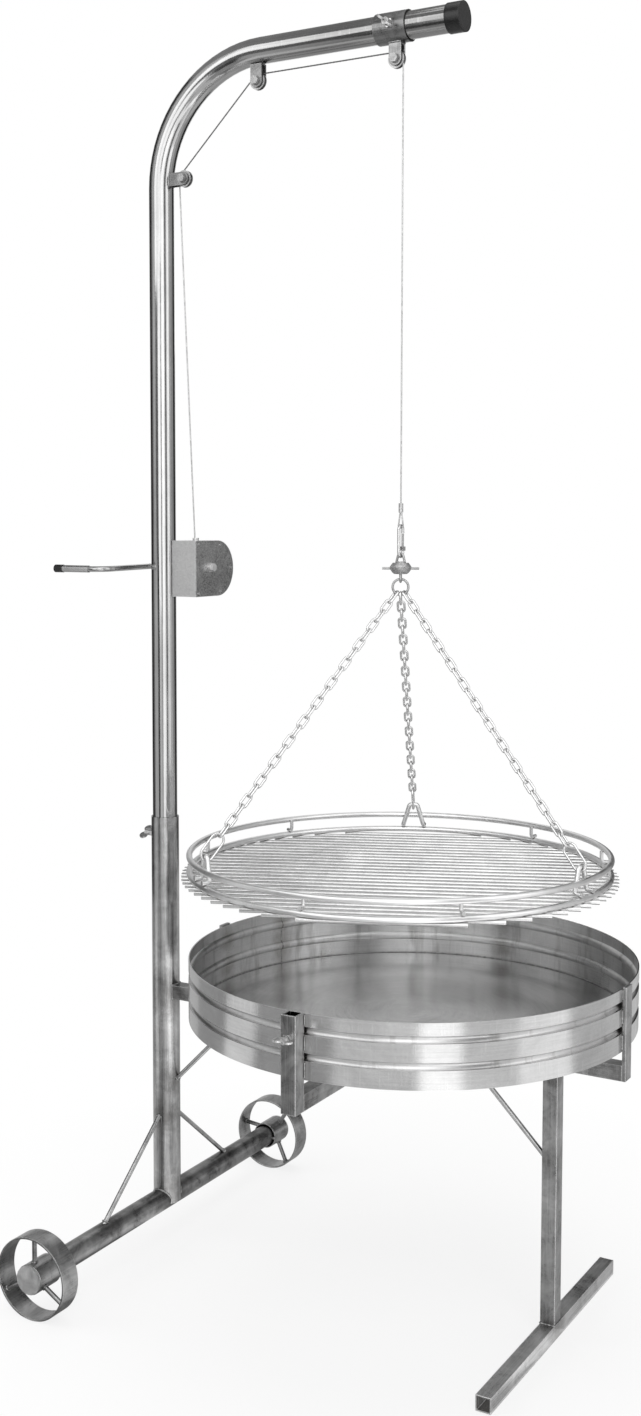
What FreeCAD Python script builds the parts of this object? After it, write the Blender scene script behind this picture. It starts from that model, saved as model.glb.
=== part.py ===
import FreeCAD, Part
import math
import os

# Swivel grill: a wheeled frame carries a fire pan and a sleeve. A bent mast turns in the sleeve.
# A crank winch on the mast lifts a round grate on a cable, over three small sheaves.
# Millimetres. The origin is the middle of the foot bar's underside, +X runs from mast to foot bar.

V = FreeCAD.Vector
doc = FreeCAD.newDocument("swivel_grill")
sheet = doc.addObject("Spreadsheet::Sheet", "Dims")

DIMS = [
    # lower frame
    ("leg_out", 254.5), ("foot_bar_length", 520), ("square_side", 25), ("square_wall", 2),
    ("beam_level", 461), ("post_top", 598), ("strap_gauge", 6), ("brace_dia", 8),
    ("beam_brace_low", 298), ("axle_brace_high", 236), ("axle_brace_out", 210), ("axle_brace_side", 15),
    # fire pan
    ("pan_x", 505.5), ("pan_radius", 373), ("pan_rim", 596), ("pan_depth", 100), ("pan_gauge", 2),
    ("bead_first", 25.5), ("bead_second", 65), ("bead_depth", 5), ("bead_half", 6),
    # mast, arm and sleeve tubes
    ("mast_od", 44.5), ("sleeve_od", 50), ("tube_wall", 2), ("sleeve_top", 782), ("sleeve_foot", 64),
    ("mast_foot", 482), ("stop_gauge", 6), ("stop_bore", 34), ("arm_level", 2112),
    ("bend_radius", 210), ("arm_reach", 584), ("cap_od", 48), ("cap_grip", 21), ("cap_gauge", 5),
    # wheels and axle
    ("axle_od", 40), ("wheel_od", 139.7), ("wheel_wall", 3), ("wheel_width", 38), ("wheel_outer", 386),
    ("hub_length", 50), ("hub_outer", 388), ("spoke_dia", 8), ("spoke_out", 374), ("side_gap", 0.3),
    ("disc_dia", 48), ("disc_gauge", 3), ("pin_dia", 5), ("pin_length", 52),
    ("near_spoke_angle", 90), ("far_spoke_angle", 55),
    # threaded hardware
    ("bolt_dia", 8), ("running_gap", 0.05), ("nut_flats", 13), ("nut_height", 6.5),
    ("sleeve_bolt_drop", 34), ("post_bolt_drop", 34), ("tip_gap", 2.4), ("wing_shank", 10.4),
    ("wing_hub_dia", 12), ("wing_hub_length", 8), ("wing_dia", 15), ("wing_gauge", 3), ("wing_out", 9),
    # sheaves and their brackets
    ("sheave_od", 29), ("sheave_width", 8), ("cable_dia", 2.5), ("cable_turn_radius", 11.5),
    ("groove_gap", 0.35), ("ear_width", 22), ("ear_gauge", 2.5),
    ("ear_gap", 11), ("mast_sheave_level", 1915), ("mast_sheave_out", 50.25), ("arm_sheave_x", 203),
    ("sheave_level", 2062), ("slider_x", 468.5), ("collar_back", 33), ("collar_front", 24),
    # winch and crank
    ("winch_level", 1232), ("winch_edge", -6), ("winch_height", 100), ("winch_flat", 69),
    ("winch_depth", 52.75), ("winch_gauge", 2), ("rivet_height", 1.2), ("drum_y", 38), ("shaft_level", 1234),
    ("drum_x", 60), ("drum_core", 22),
    ("drum_flange", 36), ("drum_length", 20), ("drum_gauge", 2), ("shaft_dia", 10), ("shaft_back", -60),
    ("bush_dia", 16), ("bush_length", 5), ("brake_inner", 12), ("brake_outer", 17),
    ("brake_length", 11), ("guide_dia", 11), ("guide_height", 5), ("cable_hole", 6),
    ("cable_rise", 12.5), ("crank_reach", 145), ("crank_angle", 0.8), ("crank_bend", 30),
    ("handle_end", -156), ("grip_end", -142.5), ("grip_dia", 12.5), ("grip_gap", 0.1),
    ("knob_dia", 14), ("knob_gauge", 4),
    # hanging gear
    ("ferrule_top", 1347), ("ferrule_dia", 7.5), ("ferrule_length", 15), ("cable_eye_width", 11),
    ("hook_bottom", 1259.5), ("hook_span", 51), ("hook_radius", 7), ("hook_dia", 5), ("gate_dia", 4),
    ("gate_length", 25), ("gate_pin_dia", 1.6), ("fork_width", 7), ("fork_height", 7), ("link_gap", 0.2),
    ("swivel_level", 1242.4), ("swivel_radius", 18), ("upper_dish_rise", 6.75), ("upper_dish_waist", 15.7),
    ("upper_dish_end", 13), ("lower_dish_rise", 11.4), ("lower_dish_waist", 16.1), ("lower_dish_end", 10.8),
    ("swivel_gap", 0.3), ("swivel_pin_dia", 8), ("swivel_head_dia", 14),
    ("swivel_head_low", 2), ("swivel_head_rise", 2.6), ("swivel_eye", 5.2), ("eye_flare_angle", 15),
    ("eye_plate_dia", 17.5), ("eye_plate_rise", 2.2), ("eye_sink", 1.2), ("eye_dia", 4),
    ("lower_eye", 5), ("lower_eye_drop", 24.4), ("swivel_bar_dia", 4),
    ("swivel_bar_length", 61), ("swivel_bar_drop", 2.4), ("ring_radius", 13), ("chain_wire", 4),
    ("chain_width", 7), ("chain_links", 25), ("fan_angle", 36), ("end_link_length", 44),
    ("end_link_width", 18),
    # grate
    ("grate_angle", 113), ("grate_radius", 350), ("grate_level", 738), ("grate_rail", 27),
    ("grate_rod", 10), ("bar_dia", 8), ("bar_pitch", 24.5), ("bar_edge", 15), ("bar_over", 13),
    ("bow_dia", 8), ("bow_foot", 19), ("bow_head", 7), ("bow_rise", 48), ("bow_radius", 340.5),
    ("bow_bend", 5), ("post_dia", 6), ("post_radius", 341.8), ("post_bend", 5), ("post_angle", 40),
    ("foot_out", 13),
]

for row, (alias, value) in enumerate(DIMS, start=1):
    sheet.set(f"A{row}", alias)
    sheet.set(f"B{row}", str(value))
    sheet.setAlias(f"B{row}", alias)
doc.recompute()


def dim(alias):
    """A driving dimension as a number."""
    return float(sheet.get(alias))


# Directions a cylinder can point, as turns of its own +Z.
UP = FreeCAD.Rotation()
TO_X = FreeCAD.Rotation(V(0, 1, 0), 90)
TO_MINUS_X = FreeCAD.Rotation(V(0, 1, 0), -90)
TO_Y = FreeCAD.Rotation(V(1, 0, 0), -90)
TO_MINUS_Y = FreeCAD.Rotation(V(1, 0, 0), 90)
DOWN = FreeCAD.Rotation(V(1, 0, 0), 180)

# Lines that several expressions share.
FOOT_REACH = "(Dims.pan_x + Dims.leg_out)"
TO_MAST = f"-{FOOT_REACH}"
DROP_X = "Dims.slider_x + Dims.cable_turn_radius"
BEAM_LOW = "Dims.beam_level - Dims.square_side / 2"
BEAM_HIGH = "Dims.beam_level + Dims.square_side / 2"
AXLE_LEVEL = "Dims.wheel_od / 2"
PAN_FLOOR = "Dims.pan_rim - Dims.pan_depth"
SLEEVE_BOLT = "Dims.sleeve_top - Dims.sleeve_bolt_drop"
POST_BOLT = "Dims.post_top - Dims.post_bolt_drop"
SLACK = 1.0

nodes = []


def place(obj, x, y, z, turn=UP):
    """Sets an object's turn, and ties its position to expressions."""
    obj.Placement = FreeCAD.Placement(V(), turn)
    for axis, expression in zip("xyz", (x, y, z)):
        obj.setExpression(f"Placement.Base.{axis}", str(expression))
    return obj


def cylinder(name, radius, height, x=0, y=0, z=0, turn=UP):
    obj = doc.addObject("Part::Cylinder", name)
    obj.setExpression("Radius", str(radius))
    obj.setExpression("Height", str(height))
    return place(obj, x, y, z, turn)


def box(name, length, width, height, x, y, z):
    obj = doc.addObject("Part::Box", name)
    obj.setExpression("Length", str(length))
    obj.setExpression("Width", str(width))
    obj.setExpression("Height", str(height))
    return place(obj, x, y, z)


def torus(name, ring, wire, x=0, y=0, z=0, turn=UP, sweep=360):
    obj = doc.addObject("Part::Torus", name)
    obj.setExpression("Radius1", str(ring))
    obj.setExpression("Radius2", str(wire))
    obj.Angle3 = sweep
    return place(obj, x, y, z, turn)


def hexagon(name, flats, height, x=0, y=0, z=0, turn=UP):
    obj = doc.addObject("Part::Prism", name)
    obj.Polygon = 6
    obj.setExpression("Circumradius", f"({flats}) / sqrt(3)")
    obj.setExpression("Height", str(height))
    return place(obj, x, y, z, turn)


def cut(name, base, *tools):
    tool = tools[0] if len(tools) == 1 else fuse(f"{name}_tools", tools)
    obj = doc.addObject("Part::Cut", name)
    obj.Base = base
    obj.Tool = tool
    return obj


def fuse(name, parts):
    obj = doc.addObject("Part::MultiFuse", name)
    obj.Shapes = list(parts)
    return obj


def group(name, parts):
    obj = doc.addObject("Part::Compound", name)
    obj.Links = list(parts)
    return obj


def coded(name, shape):
    """An object for a swept or patterned shape, which reads its sizes from the sheet in code."""
    obj = doc.addObject("Part::Feature", name)
    obj.Shape = shape
    return obj


def node(label, obj, x=TO_MAST, y=0, z=0, turn=UP):
    """Names a finished sub-part and places it. Its own shape is built about the mast or its pivot."""
    obj.Label = label
    place(obj, x, y, z, turn)
    nodes.append(obj)
    return obj


def tube(name, outer, wall, length, x=0, y=0, z=0, turn=UP):
    """A round tube, open at both ends, about its own axis."""
    skin = cylinder(f"{name}_skin", f"({outer}) / 2", length)
    core = cylinder(f"{name}_core", f"({outer}) / 2 - {wall}", f"{length} + 2 * {SLACK}", z=-SLACK)
    return place(cut(name, skin, core), x, y, z, turn)


def square_tube(name, length, along, x, y, z):
    """A square tube, open at both ends. x, y, z is the low corner of its box."""
    side = "Dims.square_side"
    inside = "Dims.square_side - 2 * Dims.square_wall"
    sizes = [length if axis == along else side for axis in "xyz"]
    hollow = [f"{length} + 2 * {SLACK}" if axis == along else inside for axis in "xyz"]
    start = (x, y, z)
    inset = [f"{low} - {SLACK}" if axis == along else f"{low} + Dims.square_wall"
             for axis, low in zip("xyz", start)]
    return cut(name, box(f"{name}_skin", *sizes, *start), box(f"{name}_core", *hollow, *inset))


def rounded_path(points, bend):
    """Straight runs joined by arcs of one bend radius."""
    edges = []
    start = points[0]
    for before, corner, after in zip(points, points[1:], points[2:]):
        back = (before - corner).normalize()
        ahead = (after - corner).normalize()
        half = back.getAngle(ahead) / 2
        trim = bend / math.tan(half)
        middle = (back + ahead).normalize()
        arc_start = corner + back * trim
        arc_end = corner + ahead * trim
        arc_top = corner + middle * (bend / math.sin(half) - bend)
        edges.append(Part.LineSegment(start, arc_start).toShape())
        edges.append(Part.Arc(arc_start, arc_top, arc_end).toShape())
        start = arc_end
    edges.append(Part.LineSegment(start, points[-1]).toShape())
    return Part.Wire(edges)


def swept(path, radius):
    """A round rod along a path."""
    first = path.Edges[0]
    start = first.valueAt(first.FirstParameter)
    heading = first.tangentAt(first.FirstParameter)
    ring = Part.Wire(Part.Circle(start, heading, radius).toShape())
    rod = path.makePipeShell([ring], True, False)
    expected = math.pi * radius ** 2 * path.Length
    if abs(rod.Volume - expected) > 0.03 * expected:
        raise ValueError(f"swept rod has volume {rod.Volume:.1f}, not {expected:.1f}")
    return rod


def half_ring(centre, start, normal, radius):
    """Half a ring of round wire, turned about centre from the point start."""
    section = Part.Circle(start, normal.cross(start - centre), radius).toShape()
    return Part.Face(Part.Wire(section)).revolve(centre, normal, 180)


def long_link(inner_length, inner_width, wire):
    """A chain link of round wire, long along X, flat in XY, about its own middle."""
    radius = wire / 2
    turn = inner_width / 2 + radius
    reach = inner_length / 2 - inner_width / 2
    ahead = V(1, 0, 0)
    sides = [Part.makeCylinder(radius, 2 * reach, V(-reach, side * turn, 0), ahead) for side in (-1, 1)]
    right = half_ring(V(reach, 0, 0), V(reach, -turn, 0), V(0, 0, 1), radius)
    left = half_ring(V(-reach, 0, 0), V(-reach, turn, 0), V(0, 0, 1), radius)
    return sides[0].fuse([sides[1], right, left]).removeSplitter()


def set_down(shape, middle, along, normal):
    """A copy of a shape with its X turned to along and its Z near normal."""
    ahead = V(along).normalize()
    across = normal.cross(ahead).normalize()
    copy = shape.copy()
    turn = FreeCAD.Rotation(ahead, across, ahead.cross(across), "XYZ")
    copy.Placement = FreeCAD.Placement(middle, turn)
    return copy


def polar(radius, degrees, level=0):
    angle = math.radians(degrees)
    return V(radius * math.cos(angle), radius * math.sin(angle), level)


# Lower frame: foot bar, leg, beams, uprights and braces, all welded.
node("foot_bar", square_tube(
    "foot_bar", "Dims.foot_bar_length", "y",
    f"{FOOT_REACH} - Dims.square_side / 2", "-Dims.foot_bar_length / 2", 0))
node("leg", square_tube(
    "leg", f"{BEAM_LOW} - Dims.square_side", "z",
    f"{FOOT_REACH} - Dims.square_side / 2", "-Dims.square_side / 2", "Dims.square_side"))

beam_start = "Dims.sleeve_od / 2 - Dims.square_side / 5"
beam_end = "(Dims.pan_x + Dims.pan_radius)"
beam_blank = square_tube("beam_blank", f"{beam_end} - ({beam_start})", "x",
                         beam_start, "-Dims.square_side / 2", BEAM_LOW)
sleeve_body = cylinder("beam_cope", "Dims.sleeve_od / 2", "Dims.sleeve_top")
node("main_beam", cut("main_beam", beam_blank, sleeve_body))

cross_length = "(Dims.pan_radius - Dims.square_side / 2)"
cross_x = "Dims.pan_x - Dims.square_side / 2"
node("cross_beams", group("cross_beams", [
    square_tube("cross_near", cross_length, "y", cross_x, "-Dims.pan_radius", BEAM_LOW),
    square_tube("cross_far", cross_length, "y", cross_x, "Dims.square_side / 2", BEAM_LOW)]))

post_blank = square_tube("post_blank", f"Dims.post_top - ({BEAM_LOW})", "z", cross_x,
                         "-Dims.pan_radius - Dims.square_side", BEAM_LOW)
BOLT_HOLE = "Dims.bolt_dia / 2 + Dims.running_gap"
post_hole = cylinder("post_hole", BOLT_HOLE, "2 * Dims.square_wall", "Dims.pan_x",
                     "-Dims.pan_radius - Dims.square_side + 1.5 * Dims.square_wall",
                     POST_BOLT, TO_MINUS_Y)
node("socket_post", cut("socket_post", post_blank, post_hole))

strap = ("Dims.strap_gauge", "Dims.square_side", f"Dims.post_top - ({BEAM_LOW})")
node("pan_straps", group("pan_straps", [
    box("strap_front", *strap, beam_end, "-Dims.square_side / 2", BEAM_LOW),
    box("strap_mast", strap[0], strap[1], f"Dims.post_top - ({BEAM_HIGH})",
        "Dims.pan_x - Dims.pan_radius - Dims.strap_gauge", "-Dims.square_side / 2", BEAM_HIGH),
    box("strap_far", strap[1], strap[0], strap[2], cross_x, "Dims.pan_radius", BEAM_LOW)]))

sleeve_tube = tube("sleeve_tube", "Dims.sleeve_od", "Dims.tube_wall",
                   "Dims.sleeve_top - Dims.sleeve_foot", z="Dims.sleeve_foot")
sleeve_saddle = cylinder("sleeve_saddle", "Dims.axle_od / 2", "2 * Dims.sleeve_od", 0,
                         "-Dims.sleeve_od", AXLE_LEVEL, TO_Y)
sleeve_hole = cylinder("sleeve_hole", BOLT_HOLE, "Dims.sleeve_od / 2", z=SLEEVE_BOLT,
                       x="-Dims.sleeve_od / 4", turn=TO_MINUS_X)
node("sleeve", cut("sleeve", sleeve_tube, sleeve_saddle, sleeve_hole))
node("mast_stop", cut(
    "mast_stop",
    cylinder("stop_disc", "Dims.sleeve_od / 2 - Dims.tube_wall", "Dims.stop_gauge",
             z="Dims.mast_foot - Dims.stop_gauge"),
    cylinder("stop_hole", "Dims.stop_bore / 2", "3 * Dims.stop_gauge",
             z="Dims.mast_foot - 2 * Dims.stop_gauge")))

# Brace rods run at a slant between two tubes and are coped to both.
side = dim("square_side")
beam_low = dim("beam_level") - side / 2
axle_level = dim("wheel_od") / 2
axle_solid = Part.makeCylinder(dim("axle_od") / 2, 2 * dim("wheel_outer"),
                               V(0, -dim("wheel_outer"), axle_level), V(0, 1, 0))
sleeve_solid = Part.makeCylinder(dim("sleeve_od") / 2, dim("sleeve_top"))
beam_solid = Part.makeBox(dim("pan_x"), side, side, V(0, -side / 2, beam_low))
beam_solid = beam_solid.fuse(beam_solid.translated(V(dim("pan_x"), 0, 0)))
foot_reach = dim("pan_x") + dim("leg_out")
leg_solid = Part.makeBox(side, side, beam_low, V(foot_reach - side / 2, -side / 2, 0))


def brace(start, end, *stops):
    rod = Part.makeCylinder(dim("brace_dia") / 2, (end - start).Length, start, end - start)
    for stop in stops:
        rod = rod.cut(stop)
    return max(rod.Solids, key=lambda solid: solid.Volume)


rise = dim("beam_level") - dim("beam_brace_low")
leg_face = foot_reach - side / 2
sleeve_face = dim("sleeve_od") / 2
overrun = dim("brace_dia")
node("beam_braces", coded("beam_braces", Part.makeCompound([
    brace(V(leg_face + overrun, 0, dim("beam_brace_low") - overrun),
          V(leg_face - rise, 0, dim("beam_level")), beam_solid, leg_solid),
    brace(V(sleeve_face - overrun, 0, dim("beam_brace_low") - overrun),
          V(sleeve_face + rise, 0, dim("beam_level")), beam_solid, sleeve_solid)])))
node("axle_braces", coded("axle_braces", Part.makeCompound([
    brace(V(0, way * dim("axle_brace_side"), dim("axle_brace_high")),
          V(0, way * dim("axle_brace_out"), axle_level), sleeve_solid, axle_solid)
    for way in (-1, 1)])))

# Fire pan: a rolled wall with two inward beads, and a flat floor disc.
gauge = dim("pan_gauge")
radius = dim("pan_radius")
rim = dim("pan_rim")
bead_arc = (dim("bead_half") ** 2 + dim("bead_depth") ** 2) / (2 * dim("bead_depth"))
inner_half = math.sqrt((bead_arc + gauge) ** 2 - (bead_arc - dim("bead_depth") + gauge) ** 2)


def bead_edges(wall, half, depth, levels, first, last):
    """The wall's profile at one radius: straight runs with an arc at each bead."""
    edges = []
    here = V(wall, 0, first)
    way = 1 if last > first else -1
    for level in levels:
        entry = V(wall, 0, level - way * half)
        leave = V(wall, 0, level + way * half)
        edges.append(Part.LineSegment(here, entry).toShape())
        edges.append(Part.Arc(entry, V(wall - depth, 0, level), leave).toShape())
        here = leave
    edges.append(Part.LineSegment(here, V(wall, 0, last)).toShape())
    return edges


bead_levels = [rim - dim("bead_first"), rim - dim("bead_second")]
pan_low = rim - dim("pan_depth")
outer_edges = bead_edges(radius, dim("bead_half"), dim("bead_depth"), bead_levels, rim, pan_low)
inner_edges = bead_edges(radius - gauge, inner_half, dim("bead_depth"), bead_levels[::-1], pan_low, rim)
lower_lip = Part.LineSegment(V(radius, 0, pan_low), V(radius - gauge, 0, pan_low)).toShape()
upper_lip = Part.LineSegment(V(radius - gauge, 0, rim), V(radius, 0, rim)).toShape()
profile = Part.Face(Part.Wire(outer_edges + [lower_lip] + inner_edges + [upper_lip]))
PAN_X = f"{TO_MAST} + Dims.pan_x"
node("pan_wall", coded("pan_wall", profile.revolve(V(), V(0, 0, 1), 360)), PAN_X)
node("pan_floor", cylinder("pan_floor", "Dims.pan_radius - Dims.pan_gauge", "Dims.pan_gauge"),
     PAN_X, 0, PAN_FLOOR)

# Axle: a plain tube with welded end discs, and a cross pin inside each hub.
PIN_Y = "Dims.hub_outer - Dims.hub_length - Dims.side_gap - Dims.pin_dia / 2"
axle_half = "(Dims.hub_outer + Dims.side_gap)"


def axle_pins(name):
    return [cylinder(f"{name}_{way}", "Dims.pin_dia / 2", "Dims.pin_length", "-Dims.pin_length / 2",
                     f"{sign} * ({PIN_Y})", AXLE_LEVEL, TO_X) for way, sign in (("near", -1), ("far", 1))]


axle_blank = tube("axle_blank", "Dims.axle_od", "Dims.tube_wall", f"2 * {axle_half}",
                  y=f"-{axle_half}", z=AXLE_LEVEL, turn=TO_Y)
node("axle_tube", cut("axle_tube", axle_blank, *axle_pins("pin_hole")))
node("axle_stop_pins", group("axle_stop_pins", axle_pins("stop_pin")))
node("axle_end_discs", group("axle_end_discs", [
    cylinder("disc_near", "Dims.disc_dia / 2", "Dims.disc_gauge", 0, f"-{axle_half}", AXLE_LEVEL, TO_MINUS_Y),
    cylinder("disc_far", "Dims.disc_dia / 2", "Dims.disc_gauge", 0, axle_half, AXLE_LEVEL, TO_Y)]))


def wheel(label, way, spoke_start):
    """A band rim, three rod spokes and a tube hub, welded, about the axle line. way is -1 or 1."""
    low_rim = dim("wheel_outer") - dim("wheel_width")
    low_hub = dim("hub_outer") - dim("hub_length")
    along = V(0, way, 0)
    rim_outer = dim("wheel_od") / 2
    rim_inner = rim_outer - dim("wheel_wall")
    hub_outer = dim("sleeve_od") / 2
    hub_inner = hub_outer - dim("tube_wall")

    def ring(outer, inner, start, length):
        solid = Part.makeCylinder(outer, length, along * start, along)
        return solid.cut(Part.makeCylinder(inner, length, along * start, along))

    shape = ring(rim_outer, rim_inner, low_rim, dim("wheel_width"))
    shape = shape.fuse(ring(hub_outer, hub_inner, low_hub, dim("hub_length")))
    middle = along * dim("spoke_out")
    bite = dim("wheel_wall") / 3
    for spoke in range(3):
        angle = math.radians(spoke_start + 120 * spoke)
        out = V(math.cos(angle), 0, math.sin(angle))
        length = rim_inner - hub_outer + 2 * bite
        rod = Part.makeCylinder(dim("spoke_dia") / 2, length, middle + out * (hub_outer - bite), out)
        hole = Part.makeCylinder(hub_inner, dim("hub_length"), along * low_hub, along)
        shape = shape.fuse(rod.cut(hole))
    node(label, coded(label, shape.removeSplitter()), TO_MAST, 0, AXLE_LEVEL)


wheel("near_wheel", -1, dim("near_spoke_angle"))
wheel("far_wheel", 1, dim("far_spoke_angle"))

# Welded nuts for the clamp bolts on the sleeve and the socket post.
def nut(name, x, y, z, turn):
    blank = hexagon(f"{name}_hex", "Dims.nut_flats", "Dims.nut_height", x, y, z, turn)
    bore = cylinder(f"{name}_bore", BOLT_HOLE, "Dims.nut_height", x, y, z, turn)
    return cut(name, blank, bore)


COPE = "Dims.tube_wall / 2"
sleeve_nut = cut(
    "sleeve_nut",
    nut("sleeve_nut_blank", f"-Dims.sleeve_od / 2 + {COPE}", 0, SLEEVE_BOLT, TO_MINUS_X),
    cylinder("sleeve_nut_cope", "Dims.sleeve_od / 2", "Dims.sleeve_top"))
node("frame_nuts", group("frame_nuts", [
    sleeve_nut,
    nut("post_nut", "Dims.pan_x", "-Dims.pan_radius - Dims.square_side", POST_BOLT,
        TO_MINUS_Y)]))


def wing_bolt(label, x, y, z, turn):
    """A clamp bolt with two wings, built about its own axis with the tip at the origin."""
    shank = cylinder(f"{label}_shank", "Dims.bolt_dia / 2", "Dims.wing_shank")
    hub = cylinder(f"{label}_hub", "Dims.wing_hub_dia / 2", "Dims.wing_hub_length", z="Dims.wing_shank")
    wings = [cylinder(f"{label}_wing_{name}", "Dims.wing_dia / 2", "Dims.wing_gauge",
                      f"{sign} * Dims.wing_out", "-Dims.wing_gauge / 2",
                      "Dims.wing_shank + Dims.wing_hub_length", TO_Y)
             for name, sign in (("left", -1), ("right", 1))]
    node(label, fuse(label, [shank, hub] + wings), x, y, z, turn)


tip_at = "(Dims.mast_od / 2 + Dims.tip_gap)"
wing_bolt("sleeve_wing_bolt", f"{TO_MAST} - {tip_at}", 0, SLEEVE_BOLT,
          TO_MINUS_X * FreeCAD.Rotation(V(0, 0, 1), 58))
wing_bolt("post_wing_bolt", PAN_X, "-Dims.pan_radius - Dims.square_side + 1.5 * Dims.square_wall",
          POST_BOLT, TO_MINUS_Y)
wing_bolt("collar_wing_bolt", f"{TO_MAST} + Dims.slider_x", f"-{tip_at}", "Dims.arm_level",
          TO_MINUS_Y * FreeCAD.Rotation(V(0, 0, 1), -40))

# Mast and arm: one tube, bent once.
TO_BEND = FreeCAD.Rotation(V(-1, 0, 0), V(0, 0, 1), V(0, 1, 0), "XYZ")


def bent_bar(name, bar_radius, extra):
    """A solid bar along the mast, round the bend and out along the arm."""
    bend_start = "Dims.arm_level - Dims.bend_radius"
    return fuse(name, [
        cylinder(f"{name}_mast", bar_radius, f"{bend_start} - Dims.mast_foot + {extra}",
                 z=f"Dims.mast_foot - {extra}"),
        torus(f"{name}_bend", "Dims.bend_radius", bar_radius, "Dims.bend_radius", 0, bend_start,
              TO_BEND, 90),
        cylinder(f"{name}_arm", bar_radius, f"Dims.arm_reach - Dims.bend_radius + {extra}",
                 "Dims.bend_radius", 0, "Dims.arm_level", TO_X)])


mast_bar = bent_bar("mast_bar", "Dims.mast_od / 2", 0)
mast_bore = bent_bar("mast_bore", "Dims.mast_od / 2 - Dims.tube_wall", SLACK)
node("mast_tube", cut("mast_tube", mast_bar, mast_bore))

cap_start = "Dims.arm_reach - Dims.cap_grip"
cap_skin = cylinder("cap_skin", "Dims.cap_od / 2", "Dims.cap_grip + Dims.cap_gauge",
                    cap_start, 0, "Dims.arm_level", TO_X)
cap_core = cylinder("cap_core", "Dims.mast_od / 2", f"Dims.cap_grip + {SLACK}",
                    f"{cap_start} - {SLACK}", 0, "Dims.arm_level", TO_X)
node("arm_cap", cut("arm_cap", cap_skin, cap_core))


def bracket(name, reach, x, z, turn):
    """A bent strip with two ears. Its foot is at the origin and its bolt line is out along Z."""
    width = "Dims.ear_width"
    over = "(Dims.ear_gap + 2 * Dims.ear_gauge)"
    body = box(f"{name}_body", width, over, reach, f"-{width} / 2", f"-{over} / 2", 0)
    nose = cylinder(f"{name}_nose", f"{width} / 2", over, 0, f"-{over} / 2", reach, TO_Y)
    gap = box(f"{name}_gap", f"2 * {width}", "Dims.ear_gap", f"{reach} + {width}", f"-{width}",
              "-Dims.ear_gap / 2", "Dims.ear_gauge")
    hole = cylinder(f"{name}_hole", "Dims.bolt_dia / 2", f"2 * {over}", 0, f"-{over}", reach, TO_Y)
    return place(cut(name, fuse(f"{name}_strip", [body, nose]), gap, hole), x, 0, z, turn)


def bolt(name, x, z):
    """A hex bolt through both ears of a bracket, with its nut."""
    ear_face = "(Dims.ear_gap / 2 + Dims.ear_gauge)"
    grip = f"2 * {ear_face} + Dims.nut_height"
    return [
        fuse(f"{name}_bolt", [
            hexagon(f"{name}_head", "Dims.nut_flats", "Dims.nut_height", x, f"-{ear_face}", z, TO_MINUS_Y),
            cylinder(f"{name}_shank", "Dims.bolt_dia / 2", grip, x, f"-{ear_face}", z, TO_Y)]),
        cut(f"{name}_nut",
            hexagon(f"{name}_nut_hex", "Dims.nut_flats", "Dims.nut_height", x, ear_face, z, TO_Y),
            cylinder(f"{name}_nut_bore", "Dims.bolt_dia / 2", "Dims.nut_height", x, ear_face, z, TO_Y))]


mast_blank = bracket("mast_blank", "Dims.mast_sheave_out - Dims.mast_od / 2", "Dims.mast_od / 2",
                     "Dims.mast_sheave_level", TO_X)
arm_foot = "Dims.arm_level - Dims.mast_od / 2"
arm_blank = bracket("arm_blank", f"{arm_foot} - Dims.sheave_level", "Dims.arm_sheave_x", arm_foot, DOWN)
bracket_cope = bent_bar("bracket_cope", "Dims.mast_od / 2", 0)
node("mast_brackets", group("mast_brackets", [cut("mast_bracket", mast_blank, bracket_cope),
                                              cut("arm_bracket", arm_blank, bracket_cope)]))
node("pulley_bolts", group("pulley_bolts", [
    *bolt("mast_pulley", "Dims.mast_sheave_out", "Dims.mast_sheave_level"),
    *bolt("arm_pulley", "Dims.arm_sheave_x", "Dims.sheave_level")]))


def sheave(label, x, z):
    """A grooved wheel on its bolt, about its own axis along Y."""
    half = "Dims.sheave_width / 2"
    disc = cylinder(f"{label}_disc", "Dims.sheave_od / 2", "Dims.sheave_width", 0, f"-{half}", 0, TO_Y)
    bore = cylinder(f"{label}_bore", BOLT_HOLE, "2 * Dims.sheave_width", 0, "-Dims.sheave_width", 0, TO_Y)
    slot_half = "(Dims.cable_dia / 2 + Dims.groove_gap)"
    root = torus(f"{label}_root", "Dims.cable_turn_radius", slot_half, turn=TO_Y)
    slot_span = (f"2 * {slot_half}", 0, f"-{slot_half}", 0, TO_Y)
    slot = cut(f"{label}_slot", cylinder(f"{label}_slot_skin", "Dims.sheave_od", *slot_span),
               cylinder(f"{label}_slot_core", "Dims.cable_turn_radius", *slot_span))
    node(label, cut(label, disc, bore, root, slot), f"{TO_MAST} + {x}", 0, z)


sheave("mast_sheave", "Dims.mast_sheave_out", "Dims.mast_sheave_level")
sheave("arm_sheave", "Dims.arm_sheave_x", "Dims.sheave_level")
sheave("slider_sheave", "Dims.slider_x", "Dims.sheave_level")

# Winch: a D-shaped box welded to the mast, with the drum on the crank shaft.
WINCH_BACK = "Dims.mast_od / 2"
WINCH_FRONT = "(Dims.mast_od / 2 + Dims.winch_depth)"


def d_block(name, start, length, inset):
    """A D-shaped block: flat edge towards -Y, round end towards +Y."""
    half = f"(Dims.winch_height / 2 - {inset})"
    flat = f"Dims.winch_flat - {inset}"
    return fuse(name, [
        box(f"{name}_flat", length, flat, f"2 * {half}", start, f"Dims.winch_edge + {inset}",
            f"Dims.winch_level - {half}"),
        cylinder(f"{name}_round", half, length, start, "Dims.winch_edge + Dims.winch_flat",
                 "Dims.winch_level", TO_X)])


def shaft_hole(name, hole_radius, start, length):
    return cylinder(name, hole_radius, length, start, "Dims.drum_y", "Dims.shaft_level", TO_X)


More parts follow.
